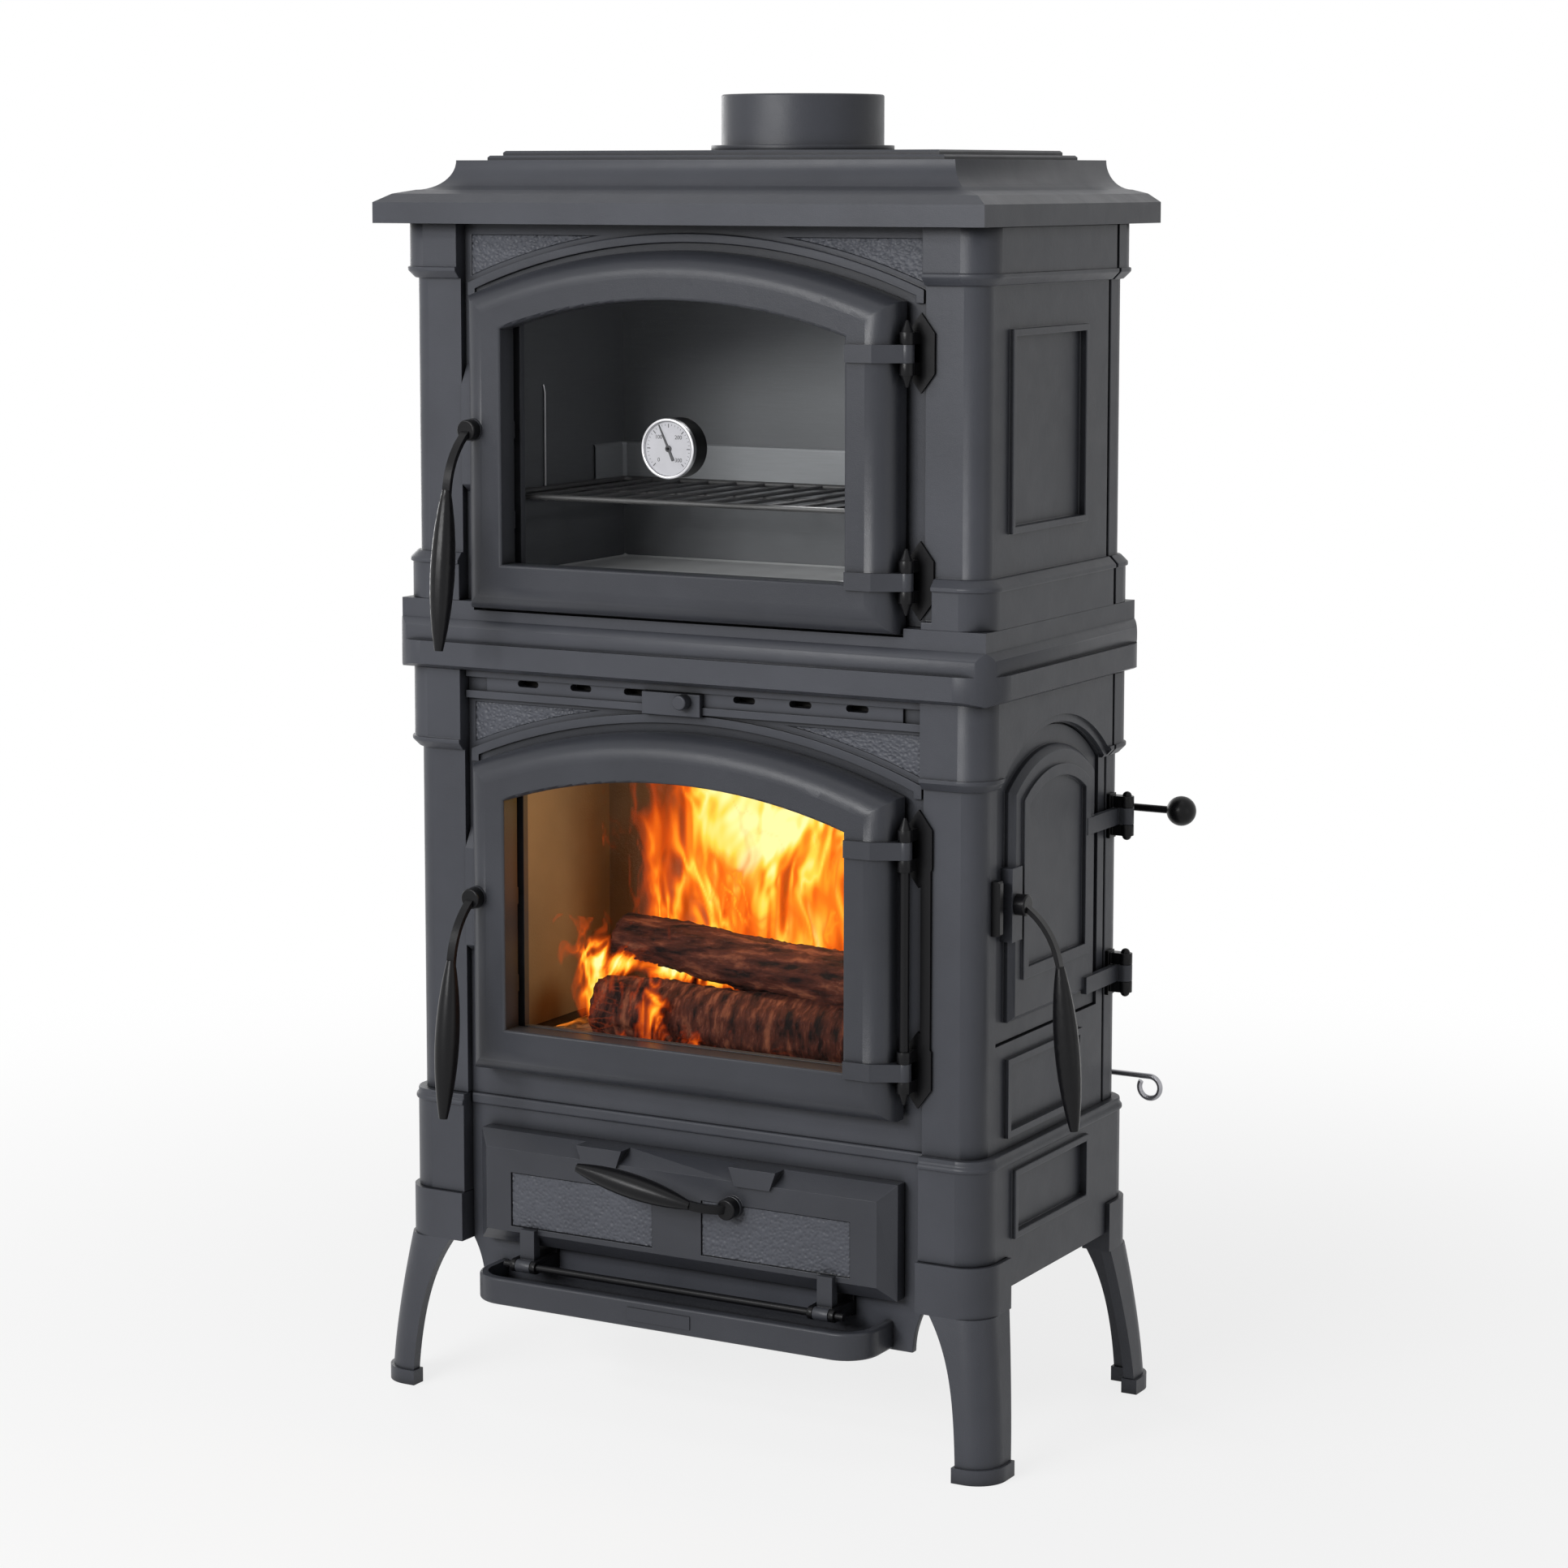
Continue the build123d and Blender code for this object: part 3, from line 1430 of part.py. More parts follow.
with BuildPart() as thermometer_needle:
    with BuildSketch(front_seat(0, dial_z, dial_face + needle_gap, needle_angle)) as pointer:
        with Locations((0, needle_length / 6)):
            Trapezoid(needle_width, needle_length, 88.5)
        Circle(needle_hub)
        Circle(needle_post_radius + running_gap, mode=Mode.SUBTRACT)
    extrude(pointer.sketch, amount=needle_thickness)
thermometer_needle.part.label = "thermometer_needle"
export_step(thermometer_needle.part, "parts/thermometer_needle.step")


# Loading door on the right side



def load_panel(inset, bottom):
    """Arched panel outline inside the loading door."""
    arched_outline(load_half - inset, bottom, load_crown - inset, load_radius - inset, load_middle)


with BuildPart() as load_door:
    with BuildSketch(side.offset(load_back)):
        load_outline(0)
    extrude(amount=load_plate)
    with BuildSketch(side.offset(load_face)):
        load_outline(-load_body_inset)
    extrude(amount=load_body_proud)
    chamfer(load_door.faces().sort_by(Axis.X)[-1].edges(), length=load_body_bevel)
    with BuildSketch(side.offset(load_front)):
        load_panel(load_panel_inset, load_sill)
        with BuildSketch(mode=Mode.SUBTRACT):
            load_panel(load_field_inset, load_sill + load_field_inset - load_panel_inset)
    extrude(amount=load_panel_proud)
    with BuildSketch(side.offset(load_front)):
        load_panel(load_field_inset, load_sill + load_field_inset - load_panel_inset)
    extrude(amount=-load_field_depth, mode=Mode.SUBTRACT)
    brick(
        (load_face, load_seat),
        (load_handle_y - load_lock_width / 2, load_handle_y + load_lock_width / 2),
        (load_handle_z - load_lock_height / 2, load_handle_z + load_lock_height / 2),
    )
    strap_front = load_hinge_x - load_strap_thickness + 1
    for height in (load_upper_strap, load_lower_strap):
        span = (height - load_strap_height / 2, height + load_strap_height / 2)
        brick((strap_front - load_strap_thickness, strap_front), (load_strap_start, load_hinge_y), span)
        brick(
            (strap_front - load_strap_thickness, load_hinge_x),
            (load_hinge_y - knuckle_radius, load_hinge_y),
            span,
        )
        bar(plan, (load_hinge_x, load_hinge_y), span[0], span[1], knuckle_radius)
    bar(
        plan,
        (load_hinge_x, load_hinge_y),
        load_bottom,
        load_crown,
        pin_radius + running_gap,
        mode=Mode.SUBTRACT,
    )
    bar(
        side,
        (load_handle_y, load_handle_z),
        load_back,
        load_seat,
        handle_shaft_radius + running_gap,
        mode=Mode.SUBTRACT,
    )
load_door.part.label = "load_door"
export_step(load_door.part, "parts/load_door.step")


def load_hinge(height):
    """Bracket on the rear post with two eyes and the pin of one strap."""
    reach = load_strap_height / 2 + eye_gap + eye_height
    with BuildPart() as bracket:
        brick(
            (half_width, half_width + load_bracket_thickness),
            (half_depth - corner_radius - load_bracket_width, half_depth - corner_radius),
            (height - load_bracket_height / 2, height + load_bracket_height / 2),
        )
        for z in (height + load_strap_height / 2 + eye_gap, height - reach):
            bar(plan, (load_hinge_x, load_hinge_y), z, z + eye_height, knuckle_radius)
            brick(
                (half_width + load_bracket_thickness / 2, load_hinge_x),
                (load_hinge_y - knuckle_radius + 1, load_hinge_y + knuckle_radius - 1),
                (z, z + eye_height),
            )
        bar(plan, (load_hinge_x, load_hinge_y), height - reach, height + reach, pin_radius)
        for z in (height + reach, height - reach):
            with Locations(plan.location * Location((load_hinge_x, load_hinge_y, z))):
                Sphere(pin_radius)
    return bracket.part


with BuildPart() as load_hinge_upper:
    add(load_hinge(load_upper_strap))
load_hinge_upper.part.label = "load_hinge_upper"
export_step(load_hinge_upper.part, "parts/load_hinge_upper.step")

with BuildPart() as load_hinge_lower:
    add(load_hinge(load_lower_strap))
load_hinge_lower.part.label = "load_hinge_lower"
export_step(load_hinge_lower.part, "parts/load_hinge_lower.step")

with BuildPart() as load_handle:
    seat = Plane(
        origin=side.from_local_coords((load_handle_y, load_handle_z, load_seat)),
        x_dir=side.x_dir,
        z_dir=side.z_dir,
    )
    add(handle(seat, load_seat - load_back, stem_drop, stem_reach, grip_length))
load_handle.part.label = "load_handle"
export_step(load_handle.part, "parts/load_handle.step")

with BuildPart() as load_catch:
    catch_edge = load_middle - load_half - load_clearance - catch_gap
    brick(
        (half_width, half_width + catch_proud),
        (catch_edge - catch_width, catch_edge),
        (load_handle_z - catch_height / 2, load_handle_z + catch_height / 2),
    )
    chamfer(load_catch.faces().sort_by(Axis.X)[-1].edges(), length=2)
load_catch.part.label = "load_catch"
export_step(load_catch.part, "parts/load_catch.step")


# Ash door, its hinge and the ash pan

with BuildPart() as ash_door:
    ash_middle = (ash_bottom + ash_top) / 2
    with BuildSketch(front.offset(ash_back)):
        with Locations((0, ash_middle)):
            Rectangle(2 * ash_half, ash_top - ash_bottom)
    extrude(amount=ash_front - ash_back)
    chamfer(ash_door.faces().sort_by(Axis.Y)[0].edges(), length=ash_bevel)
    with BuildSketch(front.offset(ash_back)):
        with Locations((0, ash_middle)):
            Rectangle(2 * (ash_half - ash_hollow_border), ash_top - ash_bottom - 2 * ash_hollow_border)
    extrude(amount=ash_hollow, mode=Mode.SUBTRACT)
    field_middle = (ash_strip_half + ash_field_half) / 2
    field_height = ash_field_top - ash_field_bottom
    with BuildSketch(front.offset(ash_front)):
        with Locations(
            (-field_middle, ash_field_bottom + field_height / 2),
            (field_middle, ash_field_bottom + field_height / 2),
        ):
            Rectangle(ash_field_half - ash_strip_half, field_height)
    extrude(amount=-ash_field_depth, mode=Mode.SUBTRACT)
    with BuildSketch(front.offset(ash_front - ash_bevel)):
        with Locations((-ash_lug_x, ash_top - ash_lug_height / 2), (ash_lug_x, ash_top - ash_lug_height / 2)):
            Trapezoid(ash_lug_width, ash_lug_height, 70, rotation=180)
    extrude(amount=ash_bevel + ash_lug_proud)
    ash_seat = ash_front + ash_lug_proud
    bar(front, (ash_handle_x, ash_handle_z), ash_back + ash_hollow, ash_seat, handle_boss_radius + 1)
    for x in (-ash_hinge_x, ash_hinge_x):
        half = ash_knuckle_width / 2
        brick(
            (x - half, x + half),
            (-ash_front - 2 * ash_lug_proud, -ash_front + ash_lug_proud),
            (ash_hinge_z, ash_field_bottom),
        )
        bar(side, (-ash_hinge_y, ash_hinge_z), x - half, x + half, ash_knuckle_radius)
    bar(
        side,
        (-ash_hinge_y, ash_hinge_z),
        -ash_half,
        ash_half,
        ash_rod_radius + running_gap,
        mode=Mode.SUBTRACT,
    )
    bar(
        front,
        (ash_handle_x, ash_handle_z),
        ash_back,
        ash_seat,
        handle_shaft_radius + running_gap,
        mode=Mode.SUBTRACT,
    )
ash_door.part.label = "ash_door"
export_step(ash_door.part, "parts/ash_door.step")

with BuildPart() as ash_handle:
    seat = front_seat(ash_handle_x, ash_handle_z, ash_seat, -90 - ash_handle_lift)
    ash_depth = ash_seat - ash_back - ash_hollow
    add(handle(seat, ash_depth, ash_stem_drop, ash_stem_reach, ash_grip_length))
ash_handle.part.label = "ash_handle"
export_step(ash_handle.part, "parts/ash_handle.step")


def ash_lug(x):
    """Two cheeks on the base front that carry the rod beside one ash-door strap."""
    inner = ash_knuckle_width / 2 + ash_cheek_gap
    outer = inner + ash_cheek
    with BuildPart() as lug:
        brick(
            (x - outer, x + outer),
            (-plate_front - ash_cheek, -plate_front),
            (lip_top + ash_cheek_gap, ash_bottom - ash_cheek_gap),
        )
        for cheek in (-inner - ash_cheek, inner):
            brick(
                (x + cheek, x + cheek + ash_cheek),
                (-ash_hinge_y, -plate_front),
                (ash_hinge_z - ash_knuckle_radius, ash_hinge_z + ash_knuckle_radius),
            )
            bar(side, (-ash_hinge_y, ash_hinge_z), x + cheek, x + cheek + ash_cheek, ash_knuckle_radius)
        bar(
            side,
            (-ash_hinge_y, ash_hinge_z),
            -ash_half,
            ash_half,
            ash_rod_radius + running_gap,
            mode=Mode.SUBTRACT,
        )
    return lug.part


with BuildPart() as ash_lug_left:
    add(ash_lug(-ash_hinge_x))
ash_lug_left.part.label = "ash_lug_left"
export_step(ash_lug_left.part, "parts/ash_lug_left.step")

with BuildPart() as ash_lug_right:
    add(ash_lug(ash_hinge_x))
ash_lug_right.part.label = "ash_lug_right"
export_step(ash_lug_right.part, "parts/ash_lug_right.step")

with BuildPart() as ash_hinge_rod:
    bar(side, (-ash_hinge_y, ash_hinge_z), -ash_rod_half, ash_rod_half, ash_rod_radius)
ash_hinge_rod.part.label = "ash_hinge_rod"
export_step(ash_hinge_rod.part, "parts/ash_hinge_rod.step")

with BuildPart() as ash_pan:
    pan_bottom = ash_box_floor + box_sheet
    brick((-pan_half, pan_half), (-pan_front, pan_rear), (pan_bottom, pan_bottom + pan_height))
    brick(
        (-pan_half + pan_sheet, pan_half - pan_sheet),
        (-pan_front + pan_sheet, pan_rear - pan_sheet),
        (pan_bottom + pan_sheet, pan_bottom + pan_height),
        mode=Mode.SUBTRACT,
    )
ash_pan.part.label = "ash_pan"
export_step(ash_pan.part, "parts/ash_pan.step")


# Firebox: floor with grate, lining

floor_bottom = floor_top - floor_thickness
grate_top = floor_top
grate_bottom = grate_top - grate_thickness
floor_half = half_width - 2 * wall
grate_window_x = grate_half_x + grate_travel + grate_gap
grate_window_y = grate_half_y + grate_gap

with BuildPart() as firebox_floor:
    brick((-floor_half, floor_half), (-plate_back, plate_back), (floor_bottom, floor_top))
    for x in (-1, 1):
        brick(
            (x * (floor_half - floor_skirt), x * floor_half),
            (-plate_back + corner_radius, plate_back - corner_radius),
            (base_top, floor_bottom),
        )
        brick(
            (-grate_window_x, grate_window_x),
            (x * (grate_window_y - grate_rail), x * (grate_window_y + grate_rail)),
            (floor_bottom - grate_rail, grate_bottom - grate_seat),
        )
    brick(
        (-grate_window_x, grate_window_x),
        (-grate_window_y, grate_window_y),
        (grate_bottom - grate_seat, floor_top),
        mode=Mode.SUBTRACT,
    )
    brick(
        (-grate_window_x, grate_window_x),
        (grate_rail - grate_window_y, grate_window_y - grate_rail),
        (base_top, floor_top),
        mode=Mode.SUBTRACT,
    )
firebox_floor.part.label = "firebox_floor"
export_step(firebox_floor.part, "parts/firebox_floor.step")

with BuildPart() as grate:
    brick((-grate_half_x, grate_half_x), (-grate_half_y, grate_half_y), (grate_bottom, grate_top))
    with BuildSketch(plan.offset(grate_top)):
        with GridLocations(2 * grate_half_x / (grate_slots + 1), 1, grate_slots, 1):
            SlotOverall(2 * grate_half_y - 2 * grate_rail, grate_slot_width, rotation=90)
    extrude(amount=-grate_thickness, mode=Mode.SUBTRACT)
grate.part.label = "grate"
export_step(grate.part, "parts/grate.step")

with BuildPart() as lining_right:
    brick(
        (lining_half, lining_half + lining_thickness),
        (-lining_front, lining_rear + lining_thickness),
        (floor_top, lining_top),
    )
    with BuildSketch(side.offset(lining_half)):
        load_outline(-load_overlap - lining_hatch_margin)
    extrude(amount=lining_thickness, mode=Mode.SUBTRACT)
lining_right.part.label = "lining_right"
export_step(lining_right.part, "parts/lining_right.step")

with BuildPart() as lining_left:
    brick(
        (-lining_half - lining_thickness, -lining_half),
        (-lining_front, lining_rear + lining_thickness),
        (floor_top, lining_top),
    )
lining_left.part.label = "lining_left"
export_step(lining_left.part, "parts/lining_left.step")

with BuildPart() as lining_back:
    brick((-lining_half, lining_half), (lining_rear, lining_rear + lining_thickness), (floor_top, lining_top))
lining_back.part.label = "lining_back"
export_step(lining_back.part, "parts/lining_back.step")


# Oven: liner and rack

with BuildPart() as oven_liner:
    brick((-liner_half, liner_half), (-liner_front, liner_rear), (liner_bottom, liner_top))
    brick(
        (-liner_half - liner_flange, liner_half + liner_flange),
        (-liner_front, -liner_front + liner_sheet),
        (liner_bottom - liner_flange / 2, liner_top + liner_flange),
    )
    for x in (-liner_skid_x, liner_skid_x):
        brick(
            (x - liner_skid / 2, x + liner_skid / 2),
            (-liner_front + liner_skid, liner_rear - liner_skid),
            (fire_top + divider_bottom + divider_thickness, liner_bottom),
        )
    brick(
        (-liner_half + liner_sheet, liner_half - liner_sheet),
        (-far, liner_rear - liner_sheet),
        (liner_bottom + liner_sheet, liner_top - liner_sheet),
        mode=Mode.SUBTRACT,
    )
    for x in (-1, 1):
        brick(
            (x * (liner_half - liner_sheet - runner_width), x * (liner_half - liner_sheet)),
            (-liner_front + runner_width, liner_rear - liner_sheet),
            (runner_z, runner_z + runner_thickness),
        )
oven_liner.part.label = "oven_liner"
export_step(oven_liner.part, "parts/oven_liner.step")

with BuildPart() as oven_rack:
    rack_z = runner_z + runner_thickness + rack_wire
    rack_x = liner_half - liner_sheet - rack_gap - rack_wire
    rack_front = runner_width + rack_wire - liner_front
    rack_rear = liner_rear - liner_sheet - rack_gap - rack_wire
    rack_middle = (rack_front + rack_rear) / 2
    with BuildSketch(plan.offset(rack_z)) as rack_frame:
        with Locations((0, rack_middle)):
            RectangleRounded(2 * rack_x, rack_rear - rack_front, rack_corner)
    rack_path = rack_frame.sketch.face().outer_wire()
    with BuildSketch(Plane(origin=rack_path @ 0, z_dir=rack_path % 0)) as rack_section:
        Circle(rack_wire)
    sweep(rack_section.sketch, path=rack_path)
    for index in range(1, rack_bars + 1):
        x = -rack_x + index * 2 * rack_x / (rack_bars + 1)
        bar(front, (x, rack_z), -rack_rear, -rack_front, rack_bar)
    support = rack_x - runner_width - rack_wire
    bar(side, (rack_middle, rack_z - rack_wire), -support, support, rack_bar)
oven_rack.part.label = "oven_rack"
export_step(oven_rack.part, "parts/oven_rack.step")


# Rods behind the back

with BuildPart() as damper_rod:
    with BuildSketch(side.offset(damper_ball_x - damper_ball_radius / 2)) as damper_section:
        with Locations((rod_y, damper_z)):
            Circle(damper_radius)
    with BuildLine(plan.offset(damper_z)) as damper_path:
        FilletPolyline(
            (damper_ball_x - damper_ball_radius / 2, rod_y),
            (damper_inner_x, rod_y),
            (damper_inner_x, damper_inner_y),
            radius=rod_bend,
        )
    sweep(damper_section.sketch, path=damper_path.wire())
    with Locations(plan.location * Location((damper_ball_x, rod_y, damper_z))):
        Sphere(damper_ball_radius)
damper_rod.part.label = "damper_rod"
export_step(damper_rod.part, "parts/damper_rod.step")

with BuildPart() as shaker_rod:
    loop_z = shaker_z - shaker_loop_radius
    loop_points = []
    for turn in (shaker_loop_turn, shaker_loop_turn / 2, 0):
        angle = math.radians(90 - turn)
        loop_points.append(
            (
                shaker_loop_x + shaker_loop_radius * math.cos(angle),
                rod_y,
                loop_z + shaker_loop_radius * math.sin(angle),
            )
        )
    bend_start = (shaker_inner_x + rod_bend, rod_y, shaker_z)
    bend_end = (shaker_inner_x, rod_y - rod_bend, shaker_z)
    bend_rise = rod_bend * (1 - math.sqrt(0.5))
    bend_middle = (shaker_inner_x + bend_rise, rod_y - bend_rise, shaker_z)
    with BuildLine(plan) as shaker_path:
        ThreePointArc(*loop_points)
        Line(loop_points[-1], bend_start)
        ThreePointArc(bend_start, bend_middle, bend_end)
        Line(bend_end, (shaker_inner_x, shaker_inner_y, shaker_z))
    shaker_wire = shaker_path.wire()
    with BuildSketch(Plane(origin=shaker_wire @ 0, z_dir=shaker_wire % 0)) as shaker_section:
        Circle(shaker_radius)
    sweep(shaker_section.sketch, path=shaker_wire)
    bar(plan, (shaker_inner_x, shaker_inner_y), shaker_z - shaker_peg_radius, grate_bottom, shaker_peg_radius)
shaker_rod.part.label = "shaker_rod"
export_step(shaker_rod.part, "parts/shaker_rod.step")
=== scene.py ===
import math

import bmesh
import bpy
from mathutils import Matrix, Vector, noise


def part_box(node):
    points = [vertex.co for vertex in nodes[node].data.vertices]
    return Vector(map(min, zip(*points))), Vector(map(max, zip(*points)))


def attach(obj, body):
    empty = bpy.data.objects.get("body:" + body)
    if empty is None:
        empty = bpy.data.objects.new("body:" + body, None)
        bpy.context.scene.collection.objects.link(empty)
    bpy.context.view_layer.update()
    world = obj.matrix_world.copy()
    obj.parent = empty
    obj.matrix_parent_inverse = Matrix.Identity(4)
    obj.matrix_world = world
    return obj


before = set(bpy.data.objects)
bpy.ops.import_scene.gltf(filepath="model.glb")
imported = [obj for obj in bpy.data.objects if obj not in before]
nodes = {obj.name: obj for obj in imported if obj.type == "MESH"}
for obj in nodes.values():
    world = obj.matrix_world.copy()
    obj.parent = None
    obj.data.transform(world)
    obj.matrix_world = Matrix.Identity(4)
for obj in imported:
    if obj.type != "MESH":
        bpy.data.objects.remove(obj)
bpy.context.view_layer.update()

# Fixed start for the noise, which would otherwise differ from run to run
noise_seed = 3
noise.seed_set(noise_seed)

# The stove's middle, from the top slab, so that pieces can be placed in millimetres from it
slab_low, slab_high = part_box("top_plate")
middle_x = (slab_low[0] + slab_high[0]) / 2
middle_y = (slab_low[1] + slab_high[1]) / 2
mm_per_metre = 1000


def at(x, y, z):
    """Point given in millimetres from the stove's middle at floor level."""
    return Vector((middle_x + x / mm_per_metre, middle_y + y / mm_per_metre, z / mm_per_metre))


# Materials
black = (0, 0, 0)
white = (1, 1, 1)

# Painted shade in seams and inner corners, darker where a place is sheltered: how far it reaches around
# them, in metres, how dark it gets, and how open a place is, from 0 to 1, where it is darkest and where it
# ends
painted_shade_reach = 0.016
painted_shade_darkest = 0.15
painted_shade_deepest = 0.35
painted_shade_end = 0.90


def grey(value):
    return (value, value, value)


def shade(base, share):
    return tuple(channel * share for channel in base)


class Shader:
    """Short-hand for building one node material. Scales are waves per metre, distances are metres."""

    def __init__(self, name, colour, roughness, metallic=0.0, specular=0.5):
        self.material = bpy.data.materials.new(name)
        self.material.use_nodes = True
        self.tree = self.material.node_tree
        self.main = self.tree.nodes["Principled BSDF"]
        self.main.inputs["Base Color"].default_value = (*colour, 1)
        self.main.inputs["Roughness"].default_value = roughness
        self.main.inputs["Metallic"].default_value = metallic
        self.main.inputs["Specular IOR Level"].default_value = specular
        self.place = self.node("ShaderNodeTexCoord").outputs["Object"]

    def node(self, kind, **values):
        made = self.tree.nodes.new(kind)
        for key, value in values.items():
            setattr(made, key, value)
        return made

    def link(self, start, end):
        self.tree.links.new(start, end)

    def stretched(self, scale):
        """Place on the object, scaled along each axis."""
        mapping = self.node("ShaderNodeMapping")
        mapping.inputs["Scale"].default_value = scale
        self.link(self.place, mapping.inputs["Vector"])
        return mapping.outputs["Vector"]

    def noise(self, scale, detail, rough=0.55, stretch=None):
        made = self.node("ShaderNodeTexNoise")
        made.inputs["Scale"].default_value = scale
        made.inputs["Detail"].default_value = detail
        made.inputs["Roughness"].default_value = rough
        self.link(self.stretched(stretch) if stretch else self.place, made.inputs["Vector"])
        return made.outputs["Fac"]

    def ramp(self, factor, stops):
        """Colour for a factor, from stops of a position and a colour."""
        made = self.node("ShaderNodeValToRGB")
        elements = made.color_ramp.elements
        elements[0].position = stops[0][0]
        elements[1].position = stops[-1][0]
        for position, _ in stops[1:-1]:
            elements.new(position)
        for element, (_, colour) in zip(elements, stops):
            element.color = (*colour, 1)
        self.link(factor, made.inputs["Fac"])
        return made.outputs["Color"]

    def tinted(self, factor, base, low, high):
        """The base colour, darker and lighter: low and high are a position and a share of the base each."""
        return self.ramp(factor, [(low[0], shade(base, low[1])), (high[0], shade(base, high[1]))])

    def spread(self, factor, low, high):
        """Factor from 0 to 1 spread between two values."""
        made = self.node("ShaderNodeMapRange")
        made.inputs["To Min"].default_value = low
        made.inputs["To Max"].default_value = high
        self.link(factor, made.inputs["Value"])
        return made.outputs["Result"]

    def multiplied(self, first, second):
        """Two colours multiplied."""
        made = self.node("ShaderNodeMix", data_type="RGBA", blend_type="MULTIPLY")
        made.inputs["Factor"].default_value = 1
        self.link(first, made.inputs["A"])
        self.link(second, made.inputs["B"])
        return made.outputs["Result"]

    def mixed(self, factor, first, second):
        """Two shaders mixed by a factor, as what the surface shows."""
        made = self.node("ShaderNodeMixShader")
        self.link(factor, made.inputs["Fac"])
        self.link(first, made.inputs[1])
        self.link(second, made.inputs[2])
        self.link(made.outputs["Shader"], self.tree.nodes["Material Output"].inputs["Surface"])

    def bump(self, height, strength, distance, after=None):
        made = self.node("ShaderNodeBump")
        made.inputs["Strength"].default_value = strength
        made.inputs["Distance"].default_value = distance
        self.link(height, made.inputs["Height"])
        if after is not None:
            self.link(after, made.inputs["Normal"])
        return made.outputs["Normal"]

    def painted_seam_shade(self, colour):
        """Colour darkened by painted shade in seams and inner corners, where little light reaches."""
        shelter = self.node("ShaderNodeAmbientOcclusion", samples=6)
        shelter.inputs["Distance"].default_value = painted_shade_reach
        stops = [(painted_shade_deepest, grey(painted_shade_darkest)), (painted_shade_end, white)]
        return self.multiplied(colour, self.ramp(shelter.outputs["AO"], stops))

    def colour(self, output):
        self.link(output, self.main.inputs["Base Color"])

    def rough(self, output):
        self.link(output, self.main.inputs["Roughness"])

    def normal(self, output):
        self.link(output, self.main.inputs["Normal"])

    def emission(self, output, strength):
        self.link(output, self.main.inputs["Emission Color"])
        self.main.inputs["Emission Strength"].default_value = strength


def cast_paint(name, base, roughness, grain=0.22, specular=0.27):
    """Satin stove paint over the fine skin of a sand casting."""
    cloud_scale = 7
    sheen_scale = 38
    ripple_scale = 120
    skin_scale = 950
    ripple_depth = 0.0012
    skin_depth = 0.0006
    made = Shader(name, base, roughness, specular=specular)
    cloud = made.tinted(made.noise(cloud_scale, 4), base, (0.3, 0.88), (0.7, 1.12))
    # Painted shade darkens the paint in seams and inner corners
    made.colour(made.painted_seam_shade(cloud))
    made.rough(made.spread(made.noise(sheen_scale, 3), roughness - 0.06, roughness + 0.08))
    skin = made.bump(made.noise(skin_scale, 2, 0.6), grain, skin_depth)
    made.normal(made.bump(made.noise(ripple_scale, 3), grain * 0.5, ripple_depth, skin))
    return made.material


anthracite = (0.053, 0.056, 0.067)
enamel_black = (0.006, 0.006, 0.007)
iron_brown = (0.060, 0.050, 0.042)
door_shade = 0.78
hammered_shade = 1.42
cast_body = cast_paint("cast_paint", anthracite, roughness=0.40)
cast_door = cast_paint("cast_paint_doors", shade(anthracite, door_shade), roughness=0.33)
hammered = cast_paint("hammered_paint", shade(anthracite, hammered_shade), roughness=0.44, grain=0.12)
black_iron = cast_paint("black_enamel", enamel_black, roughness=0.30, grain=0.10, specular=0.18)
raw_iron = cast_paint("bare_casting", iron_brown, roughness=0.75, grain=0.5)


def sheet_metal(name, base, roughness, stretch, metallic=1.0, contrast=1.0):
    """Rolled or drawn steel with fine lines. stretch is how fine they are along each axis."""
    line_scale = 90
    cloud_scale = 14
    line_depth = 0.0004
    made = Shader(name, base, roughness, metallic=metallic)
    lines = made.noise(line_scale, 2, 0.6, stretch)
    made.colour(made.tinted(lines, base, (0.25, 1 - 0.2 * contrast), (0.75, 1 + 0.15 * contrast)))
    made.rough(made.spread(made.noise(cloud_scale, 3), roughness - 0.07, roughness + 0.1))
    made.normal(made.bump(lines, 0.08 * contrast, line_depth))
    return made.material


level_lines = (0.3, 0.3, 12)
cross_lines = (0.3, 12, 0.3)
fine_grain = (30, 30, 30)
deep_streaks = (40, 2, 40)
liner_grey = (0.115, 0.120, 0.132)
# Lighter grey of the oven's band, a painted reflection of a window in the glass
painted_reflection_grey = (0.24, 0.25, 0.27)
tray_grey = (0.55, 0.56, 0.58)
wire_grey = (0.36, 0.36, 0.38)
soot_grey = (0.05, 0.048, 0.046)
rack_grey = (0.09, 0.09, 0.095)
bezel_grey = (0.60, 0.60, 0.62)
liner_steel = sheet_metal("rolled_steel", liner_grey, 0.5, level_lines, metallic=0.35, contrast=0.3)
painted_reflection_steel = sheet_metal("painted_reflection_steel", painted_reflection_grey, 0.5, level_lines, metallic=0.35, contrast=0.3)
tray_steel = sheet_metal("tray_steel", tray_grey, 0.45, cross_lines, metallic=0.2, contrast=0.4)
wire_steel = sheet_metal("plated_wire", wire_grey, 0.34, fine_grain)
soot_steel = sheet_metal("sooty_steel", soot_grey, 0.6, level_lines)
rack_steel = sheet_metal("rack_wire", rack_grey, 0.5, fine_grain, metallic=0.5)
bezel_steel = sheet_metal("turned_steel", bezel_grey, 0.30, deep_streaks)


def lining_board():
    """Pressed mineral board, tan, with a fine crumb and smoke stains."""
    base = (0.30, 0.245, 0.175)
    stain_scale = 5
    crumb_scale = 420
    crumb_depth = 0.0012
    made = Shader("lining_board", base, 0.85, specular=0.2)
    made.colour(made.tinted(made.noise(stain_scale, 4), base, (0.25, 0.62), (0.75, 1.15)))
    made.normal(made.bump(made.noise(crumb_scale, 3), 0.35, crumb_depth))
    return made.material


